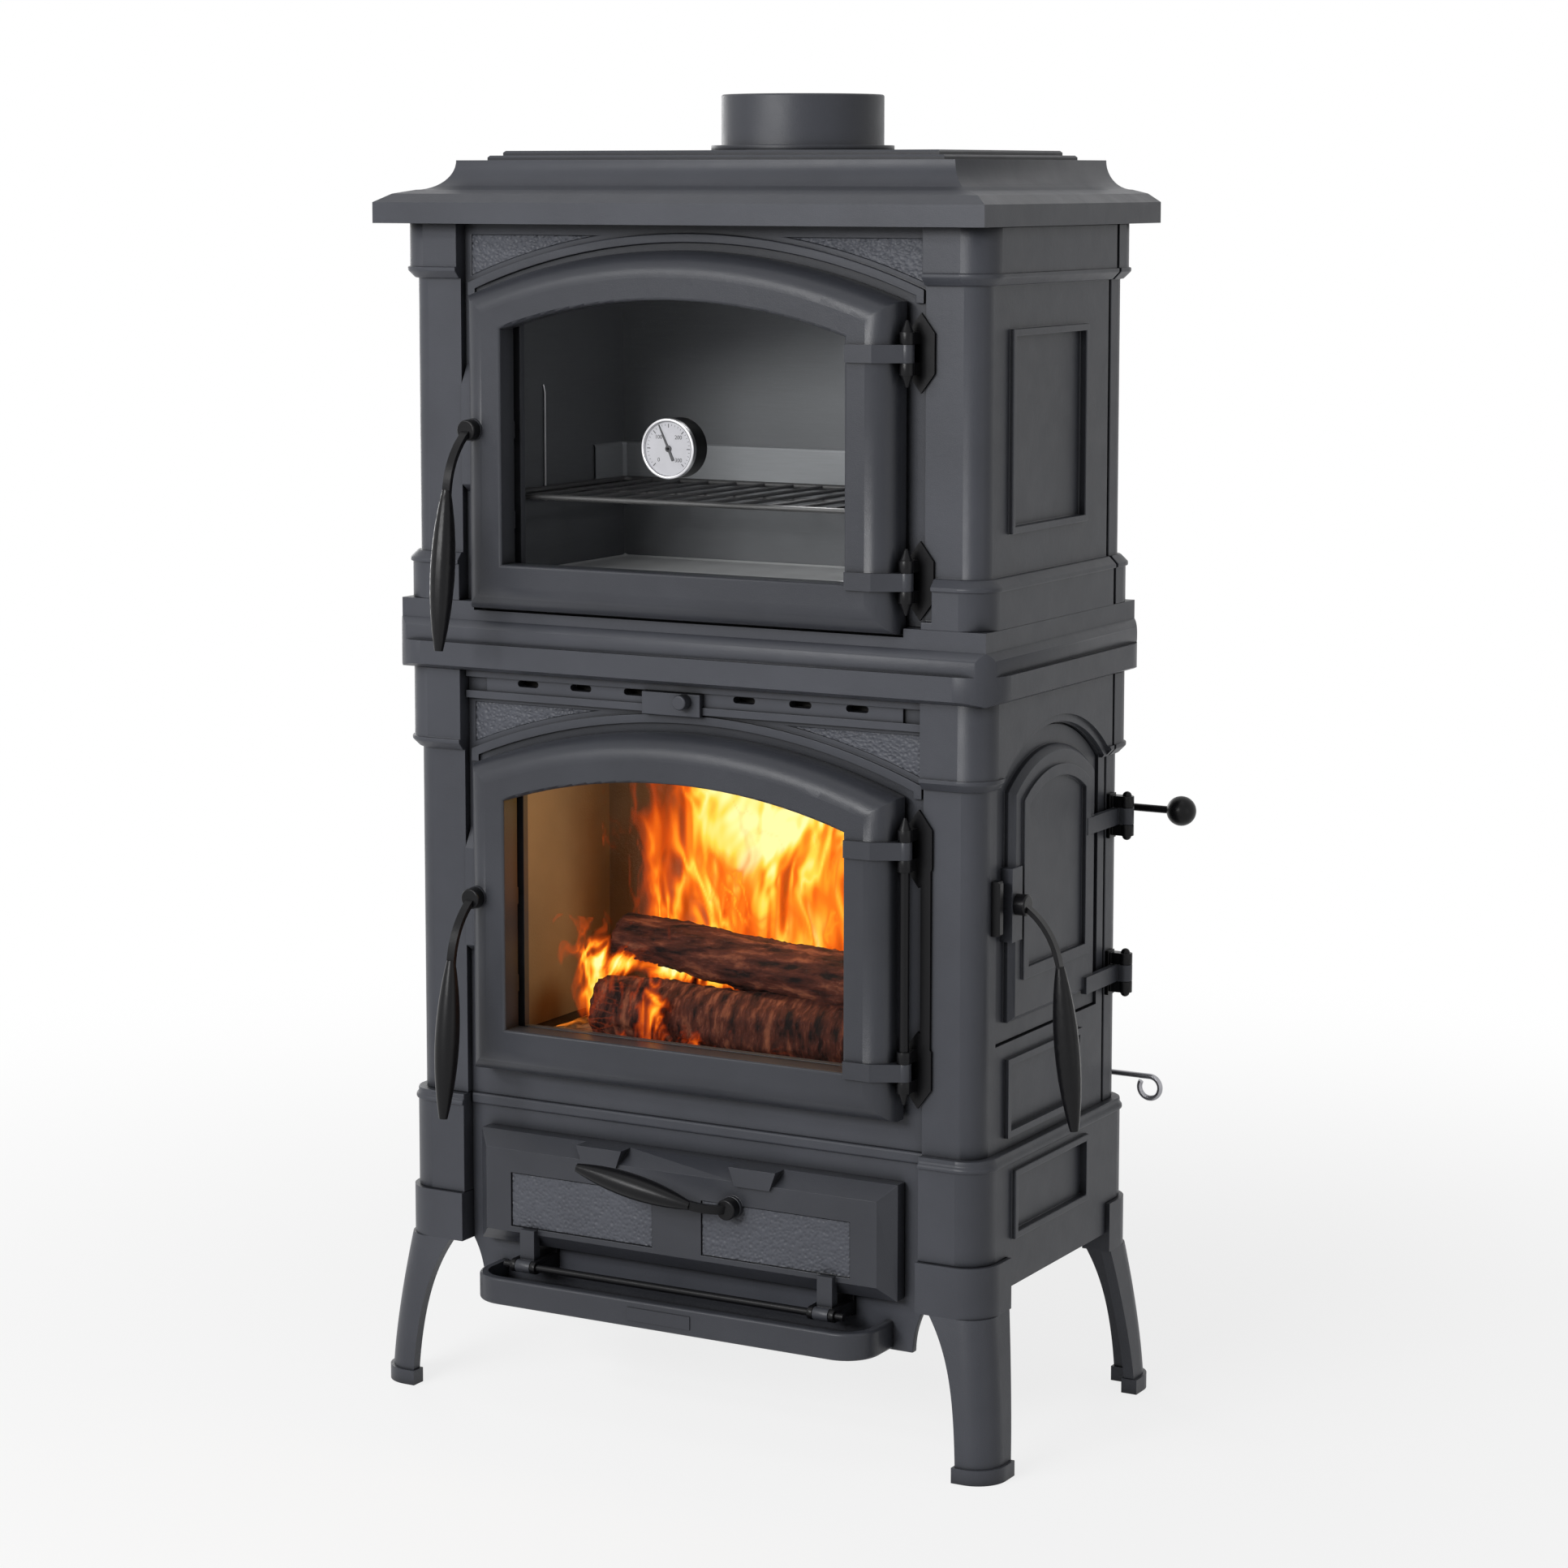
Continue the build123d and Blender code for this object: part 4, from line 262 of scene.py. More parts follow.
def rope_cloth():
    """Woven glass rope, dark grey."""
    base = (0.07, 0.07, 0.072)
    weave_scale = 160
    weave_depth = 0.0008
    made = Shader("woven_rope", base, 0.9, specular=0.2)
    weave = made.node("ShaderNodeTexWave", bands_direction="DIAGONAL")
    weave.inputs["Scale"].default_value = weave_scale
    weave.inputs["Distortion"].default_value = 1.5
    made.link(made.place, weave.inputs["Vector"])
    made.colour(made.tinted(weave.outputs["Fac"], base, (0.2, 0.6), (0.8, 1.4)))
    made.normal(made.bump(weave.outputs["Fac"], 0.6, weave_depth))
    return made.material


def stove_glass():
    """Clear ceramic glass: what lies behind it shows through a faint reflection."""
    tint = (0.98, 0.98, 0.97)
    edge_blend = 0.12
    strongest_shine = 0.10
    made = Shader("stove_glass", tint, 0.03)
    clear = made.node("ShaderNodeBsdfTransparent")
    clear.inputs["Color"].default_value = (*tint, 1)
    shine = made.node("ShaderNodeBsdfGlossy")
    shine.inputs["Roughness"].default_value = 0.04
    facing = made.node("ShaderNodeLayerWeight")
    facing.inputs["Blend"].default_value = edge_blend
    share = made.node("ShaderNodeMath", operation="MULTIPLY")
    share.inputs[1].default_value = strongest_shine
    made.link(facing.outputs["Fresnel"], share.inputs[0])
    made.mixed(share.outputs["Value"], clear.outputs["BSDF"], shine.outputs["BSDF"])
    return made.material


def dial_enamel():
    """Off-white enamel with a trace of cloud."""
    base = (0.50, 0.50, 0.53)
    cloud_scale = 60
    grain_scale = 300
    grain_depth = 0.0002
    made = Shader("dial_enamel", base, 0.45, specular=0.3)
    made.colour(made.tinted(made.noise(cloud_scale, 2), base, (0.3, 0.96), (0.7, 1.03)))
    made.normal(made.bump(made.noise(grain_scale, 2), 0.05, grain_depth))
    return made.material


def dial_ink():
    """Printed black of the dial and its needle, slightly uneven."""
    base = (0.05, 0.05, 0.055)
    print_scale = 200
    made = Shader("dial_ink", base, 0.5)
    made.colour(made.tinted(made.noise(print_scale, 2), base, (0.3, 0.8), (0.7, 1.3)))
    return made.material


def charred_wood(name, grain):
    """Charcoal bark with glowing cracks where the heat is; grain stretches its streaks."""
    charcoal = (0.005, 0.002, 0.002)
    bark_brown = (0.075, 0.020, 0.013)
    bark_tan = (0.26, 0.085, 0.045)
    ember_red = (0.9, 0.10, 0.01)
    ember_orange = (1, 0.35, 0.04)
    bark_scale = 55
    bark_depth = 0.004
    crack_scale = 70
    crack_grain = (0.45, 1.5, 1.5)
    crack_width = 0.09
    patch_scale = 9
    made = Shader(name, (0.02, 0.012, 0.01), 0.85, specular=0.25)
    bark = made.noise(bark_scale, 5, 0.6, grain)
    made.colour(made.ramp(bark, [(0.36, charcoal), (0.54, bark_brown), (0.72, bark_tan)]))
    made.normal(made.bump(bark, 0.8, bark_depth))
    crack = made.node("ShaderNodeTexVoronoi", feature="DISTANCE_TO_EDGE")
    crack.inputs["Scale"].default_value = crack_scale
    made.link(made.stretched(crack_grain), crack.inputs["Vector"])
    glow = made.ramp(crack.outputs["Distance"], [(0.0, white), (crack_width, black)])
    patch = made.ramp(made.noise(patch_scale, 3), [(0.56, black), (0.80, white)])
    embers = [(0.0, black), (0.5, ember_red), (1.0, ember_orange)]
    made.emission(made.ramp(made.multiplied(glow, patch), embers), 0.10)
    return made.material


def ash_bed():
    """Lumpy ash with embers glowing in it."""
    ash_dark = (0.10, 0.06, 0.04)
    ash_light = (0.42, 0.30, 0.20)
    ember_orange = (1.0, 0.25, 0.02)
    lump_scale = 60
    lump_depth = 0.004
    ember_scale = 26
    made = Shader("ash_and_embers", (0.3, 0.25, 0.2), 0.95, specular=0.1)
    lumps = made.noise(lump_scale, 4)
    made.colour(made.ramp(lumps, [(0.3, ash_dark), (0.6, ash_light)]))
    made.normal(made.bump(lumps, 0.7, lump_depth))
    embers = made.ramp(made.noise(ember_scale, 3), [(0.52, black), (0.72, ember_orange)])
    made.emission(embers, 0.8)
    return made.material


def fire():
    """Flame coloured by the heat, from 0 to 1, that its sheet carries from point to point."""
    flame_strength = 1.25
    deep_red = (0.62, 0.045, 0.003)
    red = (0.78, 0.085, 0.005)
    orange_red = (0.93, 0.16, 0.009)
    orange = (1.0, 0.34, 0.02)
    amber = (1.0, 0.64, 0.07)
    pale_yellow = (1.0, 0.88, 0.36)
    made = Shader("flame", black, 1.0, specular=0.0)
    heat = made.node("ShaderNodeAttribute", attribute_name="warmth").outputs["Fac"]
    stops = [
        (0.0, deep_red),
        (0.25, red),
        (0.42, orange_red),
        (0.55, orange),
        (0.72, amber),
        (0.94, pale_yellow),
    ]
    colours = made.ramp(heat, stops)
    cover = made.ramp(heat, [(0.0, black), (0.24, grey(0.34)), (0.50, white)])
    glow = made.node("ShaderNodeEmission")
    glow.inputs["Strength"].default_value = flame_strength
    clear = made.node("ShaderNodeBsdfTransparent")
    made.link(colours, glow.inputs["Color"])
    made.mixed(cover, clear.outputs["BSDF"], glow.outputs["Emission"])
    return made.material


lining = lining_board()
rope = rope_cloth()
glass = stove_glass()
dial_white = dial_enamel()
dial_black = dial_ink()

# Which node has which material: body paint where nothing else is said
finish = {name: cast_body for name in nodes}
for material, names in (
    (cast_door, ("oven_door", "fire_door", "ash_door", "hearth_lip")),
    (black_iron, ("oven_handle", "fire_handle", "load_handle", "ash_handle")),
    (black_iron, ("oven_hinge_upper", "oven_hinge_lower", "fire_hinge", "fire_hinge_pin")),
    (black_iron, ("load_hinge_upper", "load_hinge_lower", "load_catch", "damper_rod")),
    (black_iron, ("ash_hinge_rod", "ash_lug_left", "ash_lug_right", "thermometer_case")),
    (glass, ("oven_glass", "fire_glass")),
    (rope, ("oven_rope", "fire_rope")),
    (liner_steel, ("oven_liner", "ash_box", "ash_pan")),
    (wire_steel, ("shaker_rod",)),
    (rack_steel, ("oven_rack",)),
    (lining, ("lining_left", "lining_right", "lining_back")),
    (raw_iron, ("grate", "firebox_floor")),
    (dial_black, ("thermometer_needle",)),
):
    for name in names:
        finish[name] = material

# Nodes whose cast edges are softened, by the width of the soft edge in millimetres
softened = {}
for width, names in (
    (0.6, ("flue_collar", "oven_hinge_upper", "oven_hinge_lower", "fire_hinge")),
    (0.6, ("load_hinge_upper", "load_hinge_lower")),
    (0.8, ("oven_front", "fire_front", "ash_lug_left", "ash_lug_right")),
    (0.9, ("oven_door", "fire_door", "load_door", "lower_side_right")),
    (1.0, ("base_front", "hob_plate", "lower_side_left", "oven_side_left", "oven_side_right")),
    (1.0, ("lower_post_left", "lower_post_right", "upper_post_left", "upper_post_right")),
    (1.2, ("base_frame", "mid_cornice")),
    (1.5, ("ash_door",)),
    (1.6, ("top_plate",)),
):
    for name in names:
        softened[name] = width

weld_reach = 0.00001
edge_angle = math.radians(38)
for name, piece in nodes.items():
    material = finish[name]
    if not piece.material_slots:
        piece.data.materials.append(material)
    for place in piece.material_slots:
        place.material = material
    if name in softened:
        weld = piece.modifiers.new("weld", "WELD")
        weld.merge_threshold = weld_reach
        bevel = piece.modifiers.new("bevel", "BEVEL")
        bevel.width = softened[name] / mm_per_metre
        bevel.segments = 2
        bevel.limit_method = "ANGLE"
        bevel.angle_limit = edge_angle
        bevel.use_clamp_overlap = True
        bevel.harden_normals = False


# Helpers that make pieces


def in_scene(name, data):
    """Object of some data, in the scene."""
    made = bpy.data.objects.new(name, data)
    bpy.context.scene.collection.objects.link(made)
    return made


def new_piece(name, mesh, body, material, smooth=True):
    """Object from a bmesh, riding on a body."""
    data = bpy.data.meshes.new(name)
    mesh.to_mesh(data)
    mesh.free()
    for polygon in data.polygons:
        polygon.use_smooth = smooth
    piece = in_scene(name, data)
    data.materials.append(material)
    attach(piece, body)


def grid(points, closed=False):
    """Surface through rows of points, and its rows of vertices."""
    mesh = bmesh.new()
    rows = [[mesh.verts.new(point) for point in row] for row in points]
    for lower, upper in zip(rows, rows[1:]):
        count = len(lower)
        for index in range(count if closed else count - 1):
            following = (index + 1) % count
            mesh.faces.new((lower[index], lower[following], upper[following], upper[index]))
    return mesh, rows


def outward(mesh):
    """The mesh with its faces turned the same way, outward."""
    bmesh.ops.recalc_face_normals(mesh, faces=mesh.faces)
    return mesh


# Hammered fields: peened skins that lie in the sunk fields of the fronts and of the ash door
peen_cell = 4.2
peen_rows = 54
peen_sharpness = 1.4
wobble_scale = 0.6
wobble_reach = 0.35
least_distance = 0.001


def peening(x, z, seed):
    """Height share of a hammered surface, from 0 in a dimple's middle to 1 on a crest."""
    where = Vector((x / peen_cell, z / peen_cell, seed))
    wobble = noise.noise_vector(where * wobble_scale) * wobble_reach
    distances = noise.voronoi(where + wobble, distance_metric="DISTANCE")[0]
    return min(1.0, (distances[0] / max(distances[1], least_distance)) ** peen_sharpness)


def hammered_skin(name, relief, x_span, bottom, top, floor, seed, body):
    """Peened skin over a span of widths, one column per millimetre, between two heights.

    The heights are functions of the width. relief is how far a dimple and a crest stand off the floor.
    """
    low, high = relief
    columns = int(abs(x_span[1] - x_span[0]))
    points = []
    for column in range(columns + 1):
        x = x_span[0] + (x_span[1] - x_span[0]) * column / columns
        foot = bottom(x)
        head = top(x)
        line = []
        for row in range(peen_rows + 1):
            z = foot + (head - foot) * row / peen_rows
            height = low + (high - low) * peening(x, z, seed)
            line.append(at(x, floor - height, z))
        points.append(line)
    mesh, _ = grid(points)
    outward(mesh)
    facing_back = sum(face.normal.y * face.calc_area() for face in mesh.faces)
    if facing_back > 0:
        bmesh.ops.reverse_faces(mesh, faces=mesh.faces)
    new_piece(name, mesh, body, hammered)


# Arch over a glass door, and the sunk spandrel field on each side of it
door_half = 254.0
door_arch_rise = 48.0
arch_grow = 23.0
arch_radius = (door_half**2 + door_arch_rise**2) / (2 * door_arch_rise) + arch_grow
spandrel_rise = 14.0
spandrel_half = 268.0
spandrel_tip_cut = 4
spandrel_floor = -160.0
spandrel_relief = (0.25, 1.5)
skin_edge = 0.4


def arch_height(crown):
    """Height of the outer edge of the arch moulding at a width."""

    def height(x):
        return crown - arch_radius + math.sqrt(arch_radius**2 - x**2) + skin_edge

    return height


for tier, seed in (("oven", 869), ("fire", 371)):
    door_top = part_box(f"{tier}_door")[1][2] * mm_per_metre
    drop = arch_grow - spandrel_rise
    inner = math.sqrt(arch_radius**2 - (arch_radius - drop) ** 2) + spandrel_tip_cut
    for side, label in ((-1, "left"), (1, "right")):
        hammered_skin(
            f"{tier}_spandrel_{label}",
            spandrel_relief,
            (side * inner, side * (spandrel_half - skin_edge)),
            arch_height(door_top + arch_grow),
            lambda x, top=door_top + spandrel_rise - skin_edge: top,
            spandrel_floor,
            seed + side,
            "stove_body",
        )

# Sunk fields of the ash door, each side of its plain middle
ash_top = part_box("ash_door")[1][2] * mm_per_metre
ash_field_head = 41.0
ash_field_height = 59.0
ash_field_span = (30.0, 206.0)
ash_field_floor = -192.0
ash_field_relief = (0.3, 1.6)
ash_field_gap = 1
ash_field_seed = 31
for side, label in ((-1, "left"), (1, "right")):
    hammered_skin(
        f"ash_field_{label}",
        ash_field_relief,
        (side * (ash_field_span[0] + ash_field_gap), side * (ash_field_span[1] - ash_field_gap)),
        lambda x: ash_top - ash_field_head - ash_field_height + ash_field_gap,
        lambda x: ash_top - ash_field_head - ash_field_gap,
        ash_field_floor,
        ash_field_seed + side,
        "ash_door_body",
    )

# Oven thermometer: bezel, dial, marks and numbers, placed by distances forward of the stove's middle.
# The dial's start and sweep are angles in degrees, a profile is radii with distances forward
dial_x = 0.0
dial_z = 1037.0
dial_steps = 30
dial_sweep = 270
dial_start = 225
long_mark_every = 5
number_every = 10
reading_per_step = 10
bezel_profile = [
    (31.25, 203),
    (31.3, 207.5),
    (30.9, 208.8),
    (30.2, 209.15),
    (28.6, 209.15),
    (27.9, 208.6),
    (27.6, 207.2),
    (27.6, 206.2),
]
dial_profile = [(27.7, 206.12), (20.0, 206.16), (10.0, 206.18), (2.2, 206.2)]
marks_forward = 206.28
numbers_forward = 206.3
mark_outer = 25.5
long_mark_inner = 21.5
short_mark_inner = 23.5
long_mark_width = 0.9
short_mark_width = 0.45
number_radius = 16.5
number_size = 0.0058
number_thickness = 0.00004


def lathe(profile, turns=64):
    """Piece turned about the dial's front-to-back axis: profile is radius and distance forward."""
    points = []
    for radius, forward in profile:
        ring = []
        for step in range(turns):
            angle = 2 * math.pi * step / turns
            x = dial_x + radius * math.cos(angle)
            z = dial_z + radius * math.sin(angle)
            ring.append(at(x, -forward, z))
        points.append(ring)
    mesh, _ = grid(points, closed=True)
    return outward(mesh)


def dial_angle(step):
    """Angle of a step of the dial, anticlockwise from the right."""
    return math.radians(dial_start - dial_sweep * step / dial_steps)


new_piece("thermometer_bezel", lathe(bezel_profile), "oven_door_body", bezel_steel)
new_piece("thermometer_dial", lathe(dial_profile), "oven_door_body", dial_white)

marks = bmesh.new()
for step in range(dial_steps + 1):
    angle = dial_angle(step)
    is_long = step % long_mark_every == 0
    inner = long_mark_inner if is_long else short_mark_inner
    width = long_mark_width if is_long else short_mark_width
    along = Vector((math.cos(angle), 0, math.sin(angle)))
    across = Vector((-math.sin(angle), 0, math.cos(angle)))
    corners = []
    for radius, side in ((inner, -1), (mark_outer, -1), (mark_outer, 1), (inner, 1)):
        offset = along * radius + across * side * width / 2
        corners.append(marks.verts.new(at(offset.x, -marks_forward, dial_z + offset.z)))
    marks.faces.new(corners)
new_piece("thermometer_marks", marks, "oven_door_body", dial_black, smooth=False)

for step in range(0, dial_steps + 1, number_every):
    angle = dial_angle(step)
    curve = bpy.data.curves.new(f"dial_number_{step}", "FONT")
    curve.body = str(step * reading_per_step)
    curve.size = number_size
    curve.align_x = "CENTER"
    curve.align_y = "CENTER"
    curve.extrude = number_thickness
    number = in_scene(f"dial_number_{step}", curve)
    x = number_radius * math.cos(angle)
    z = dial_z + number_radius * math.sin(angle)
    number.location = at(x, -numbers_forward, z)
    number.rotation_euler = (math.pi / 2, 0, 0)
    curve.materials.append(dial_black)
    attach(number, "oven_door_body")

# Fractal noise of the firebox contents: its dimension, the step between its octaves, how many there are
knot_octaves = (1.0, 2.0, 3)
ridge_octaves = (0.8, 2.1, 3)
ash_octaves = (0.9, 2.0, 4)
flame_octaves = (0.9, 2.1, 3)

# Three logs
log_rings = 120
log_turns = 72
log_bow = 4
log_sag = 3
bends_along = 3
knot_share = 0.12
knots_along = 5
knots_around = 1.6
ridge_height = 3.2
ridge_base = 2.0
ridges_around = 5
flat_share = 0.12
flat_angle = 0.9
end_ragged = 2.5
end_teeth = 6
end_insets = (0.75, 0.5, 0.25)
end_relief = 0.002
end_lumps_in = 9
end_lumps_around = 0.35


def log(name, start, end, radii, seed, ribs, bark):
    """Charred log with bark ridges, ragged ends and one flattened side.

    start and end are the middles of its ends, and radii its radius at each. ribs sets how many
    ridges there are along it.
    """
    start = Vector(start)
    end = Vector(end)
    axis = (end - start).normalized()
    across = axis.cross(Vector((0, 0, 1))).normalized()
    rise = across.cross(axis)
    points = []
    for ring in range(log_rings + 1):
        share = ring / log_rings
        middle = start.lerp(end, share)
        bow = across * log_bow * noise.noise(Vector((share * bends_along, seed, 0)))
        sag = rise * log_sag * noise.noise(Vector((share * bends_along, 0, seed)))
        middle += bow + sag
        radius = radii[0] + (radii[1] - radii[0]) * share
        line = []
        for turn in range(log_turns):
            angle = 2 * math.pi * turn / log_turns
            sector = Vector((math.cos(angle), math.sin(angle), 0))
            wide = sector * knots_around
            narrow = sector * ridges_around
            knot = noise.fractal(Vector((share * knots_along, wide.x + seed, wide.y)), *knot_octaves)
            ridge = noise.fractal(Vector((share * ribs, narrow.x + seed, narrow.y)), *ridge_octaves)
            size = radius * (1 + knot_share * knot) + ridge_height * abs(ridge) - ridge_base
            flat = 1 - flat_share * max(0.0, math.cos(angle - flat_angle)) ** 3
            point = middle + (across * math.cos(angle) + rise * math.sin(angle)) * size * flat
            if ring in (0, log_rings):
                point += axis * (end_ragged * noise.noise(sector * end_teeth + Vector((seed, 0, 0))))
            line.append(at(*point))
        points.append(line)
    mesh, rows = grid(points, closed=True)
    for row, sign in ((rows[0], -1), (rows[-1], 1)):
        previous = row
        for inset in end_insets:
            centre = sum((vertex.co for vertex in row), Vector()) / len(row)
            inner = []
            for index, vertex in enumerate(row):
                lump = Vector((inset * end_lumps_in, index * end_lumps_around, seed))
                point = centre.lerp(vertex.co, inset)
                point += axis * sign * end_relief * noise.noise(lump)
                inner.append(mesh.verts.new(point))
            for index in range(len(row)):
                following = (index + 1) % len(row)
                mesh.faces.new((previous[index], previous[following], inner[following], inner[index]))
            previous = inner
        mesh.faces.new(previous)
    new_piece(name, outward(mesh), "stove_body", bark)


long_bark = charred_wood("charred_wood", grain=(0.35, 1.6, 1.6))
ribbed_bark = charred_wood("charred_ribs", grain=(1.9, 0.55, 0.55))
ash_material = ash_bed()

log(
    "log_lower",
    start=(-150, -96, 421),
    end=(240, -72, 417),
    radii=(36, 39),
    seed=3.0,
    ribs=70,
    bark=ribbed_bark,
)
log(
    "log_upper",
    start=(-160, -32, 486),
    end=(242, -74, 462),
    radii=(29, 36),
    seed=8.0,
    ribs=34,
    bark=long_bark,
)
log(
    "log_rear",
    start=(-150, 55, 421),
    end=(245, 45, 420),
    radii=(38, 36),
    seed=15.0,
    ribs=26,
    bark=long_bark,
)

# Ash bed: heaps that thin out to nothing at its edges
ash_half_width = 240
ash_front = -118
ash_back = 94
ash_floor = 380.4
ash_rows = 60
ash_columns = 120
ash_thinnest = 4
ash_heap = 9
ash_heap_size = 34
ash_side_fade = 30
ash_end_fade = 24
ash_seed = 5.0
points = []
for row in range(ash_rows + 1):
    y = ash_front + (ash_back - ash_front) * row / ash_rows
    line = []
    for column in range(ash_columns + 1):
        x = -ash_half_width + 2 * ash_half_width * column / ash_columns
        where = Vector((x / ash_heap_size, y / ash_heap_size, ash_seed))
        height = ash_thinnest + ash_heap * abs(noise.fractal(where, *ash_octaves))
        from_side = (ash_half_width - abs(x)) / ash_side_fade
        from_front = (y - ash_front) / ash_end_fade
        from_back = (ash_back - y) / ash_end_fade
        edge = min(1.0, from_side, from_front, from_back)
        line.append(at(x, y, ash_floor + height * max(0.0, edge)))
    points.append(line)
mesh, _ = grid(points)
new_piece("ash_bed", outward(mesh), "stove_body", ash_material)

# Flames: thin wavy sheets. Each has an envelope, a function that says how hot a place tends to be.
# Its turbulence is sized in cells and pulled out of place by a slow and a quick swirl
flame_material = fire()
flame_step = 2.2
flame_edge = 0.03
flame_stretch = 2.6
slow_width = 2.2
slow_height = 3.4
slow_pull_across = 1.1
slow_pull_up = 0.8
quick_height = 1.7
quick_pull_across = 0.35
quick_pull_up = 0.25
ridge_share = 0.42
ridge_sharpness = 2.1
blob_share = 0.38
blobs_across = 0.55
blobs_up = 0.6
wave_width = 40
wave_height = 60
quick_offset = 9
swirl_offset = 3
blob_offset = 20


def flame_sheet(name, x_span, z_span, depth, cell, seed, envelope, lean=0.0, spread=6.0):
    """Sheet of fire: its outline and its colours come from a warped rising turbulence.

    depth is how far back it stands, cell the width of its flames, and spread how far it waves.
    """
    columns = int((x_span[1] - x_span[0]) / flame_step)
    lines = int((z_span[1] - z_span[0]) / flame_step)
    mesh = bmesh.new()
    heat_layer = mesh.verts.layers.float.new("warmth")
    table = []
    for line in range(lines + 1):
        z = z_span[0] + (z_span[1] - z_span[0]) * line / lines
        row = []
        for column in range(columns + 1):
            x = x_span[0] + (x_span[1] - x_span[0]) * column / columns
            slow = noise.noise_vector(Vector((x / cell / slow_width, z / cell / slow_height, seed)))
            quick = noise.noise_vector(Vector((x / cell, z / cell / quick_height, seed + quick_offset)))
            lean_here = lean * (z - z_span[0]) / cell
            u = x / cell + slow_pull_across * slow.x + quick_pull_across * quick.x - lean_here
            v = z / cell / flame_stretch + slow_pull_up * slow.y + quick_pull_up * quick.y
            swirl = noise.fractal(Vector((u, v, seed + swirl_offset)), *flame_octaves)
            ridges = 1 - abs(swirl) * ridge_sharpness
            blobs = noise.noise(Vector((u * blobs_across, v * blobs_up, seed + blob_offset)))
            heat = envelope(x, z) + ridge_share * ridges + blob_share * blobs
            wave = spread * noise.noise(Vector((x / wave_width, z / wave_height, seed)))
            vertex = mesh.verts.new(at(x, depth + wave, z))
            vertex[heat_layer] = max(0.0, min(1.0, heat))
            row.append((vertex, heat))
        table.append(row)
    for lower, upper in zip(table, table[1:]):
        for index in range(columns):
            corners = (lower[index], lower[index + 1], upper[index + 1], upper[index])
            if max(corner[1] for corner in corners) > flame_edge:
                mesh.faces.new([corner[0] for corner in corners])
    loose = [vertex for vertex in mesh.verts if not vertex.link_faces]
    bmesh.ops.delete(mesh, geom=loose, context="VERTS")
    new_piece(name, mesh, "stove_body", flame_material)


def bell(value, middle, width):
    return math.exp(-(((value - middle) / width) ** 2))


def puff(x, z, strength, across, up):
    """Soft spot of heat. across and up are its middle and its width in each direction."""
    return strength * bell(x, *across) * bell(z, *up)


def left_fade(x, edge, width):
    """Rises from 0 at an edge to 1 a width to the left of it, and on from there."""
    return max(0.0, (edge - x) / width)


def back_fire(x, z):
    """Even fire along the back with two dark gaps, ending at the left."""
    dark = puff(x, z, 0.45, (-150, 34), (668, 60)) + puff(x, z, 0.35, (95, 22), (640, 60))
    return 0.26 - dark - 0.6 * left_fade(x, -196, 30)


def middle_fire(x, z):
    """The main blaze with two dark gaps, ending at the left."""
    body = puff(x, z, 0.92, (-40, 72), (615, 95)) + 0.34 * bell(x, 45, 90)
    dark = puff(x, z, 0.75, (-168, 40), (670, 62)) + puff(x, z, 0.55, (112, 26), (648, 52))
    return body - dark - 0.06 - 1.2 * left_fade(x, -178, 24)


def front_fire(x, z):
    """Two tongues that rise from the upper log."""
    column = puff(x, z, 0.5, (-20, 34), (545, 70)) + puff(x, z, 0.45, (-120, 26), (520, 42))
    return column - 0.34


def low_fire(x, z):
    """Flame at the left ends of the logs, and a flat one between them."""
    corner = puff(x, z, 0.75, (-176, 26), (432, 50))
    sheet = 1.12 * bell(z, 462 - 0.05 * (x + 110), 14) * bell(x, -95, 92)
    return corner + sheet - 0.42


def lick_fire(x, z):
    """Small flames that lick the lower log from in front."""
    tall = puff(x, z, 0.62, (-62, 16), (432, 34))
    short = puff(x, z, 0.5, (-100, 12), (402, 16)) + puff(x, z, 0.4, (-10, 14), (400, 14))
    return tall + short - 0.42


flame_sheet(
    "flame_back",
    x_span=(-245, 258),
    z_span=(400, 792),
    depth=92,
    cell=44,
    seed=2.0,
    envelope=back_fire,
)
flame_sheet(
    "flame_middle",
    x_span=(-220, 258),
    z_span=(455, 790),
    depth=10,
    cell=38,
    seed=5.3,
    envelope=middle_fire,
    lean=0.12,
)
flame_sheet(
    "flame_front",
    x_span=(-200, 250),
    z_span=(470, 780),
    depth=-14,
    cell=26,
    seed=9.7,
    envelope=front_fire,
    lean=-0.1,
)
flame_sheet(
    "flame_low",
    x_span=(-236, 90),
    z_span=(383, 510),
    depth=-62,
    cell=20,
    seed=12.4,
    envelope=low_fire,
    lean=0.2,
    spread=5,
)
flame_sheet(
    "flame_lick",
    x_span=(-140, 60),
    z_span=(385, 475),
    depth=-139,
    cell=14,
    seed=17.1,
    envelope=lick_fire,
    lean=0.1,
    spread=3,
)

# Fittings in sheet and wire: rack hangers, a lighter band in the oven that is a painted reflection, air
# deflector, oven tray


def wire(name, points, radius, body, material):
    """Round wire through a few points."""
    curve = bpy.data.curves.new(name, "CURVE")
    curve.dimensions = "3D"
    spline = curve.splines.new("POLY")
    spline.points.add(len(points) - 1)
    for place, point in zip(spline.points, points):
        place.co = (*at(*point), 1)
    curve.bevel_depth = radius / mm_per_metre
    curve.bevel_resolution = 4
    curve.use_fill_caps = True
    piece = in_scene(name, curve)
    curve.materials.append(material)
    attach(piece, body)


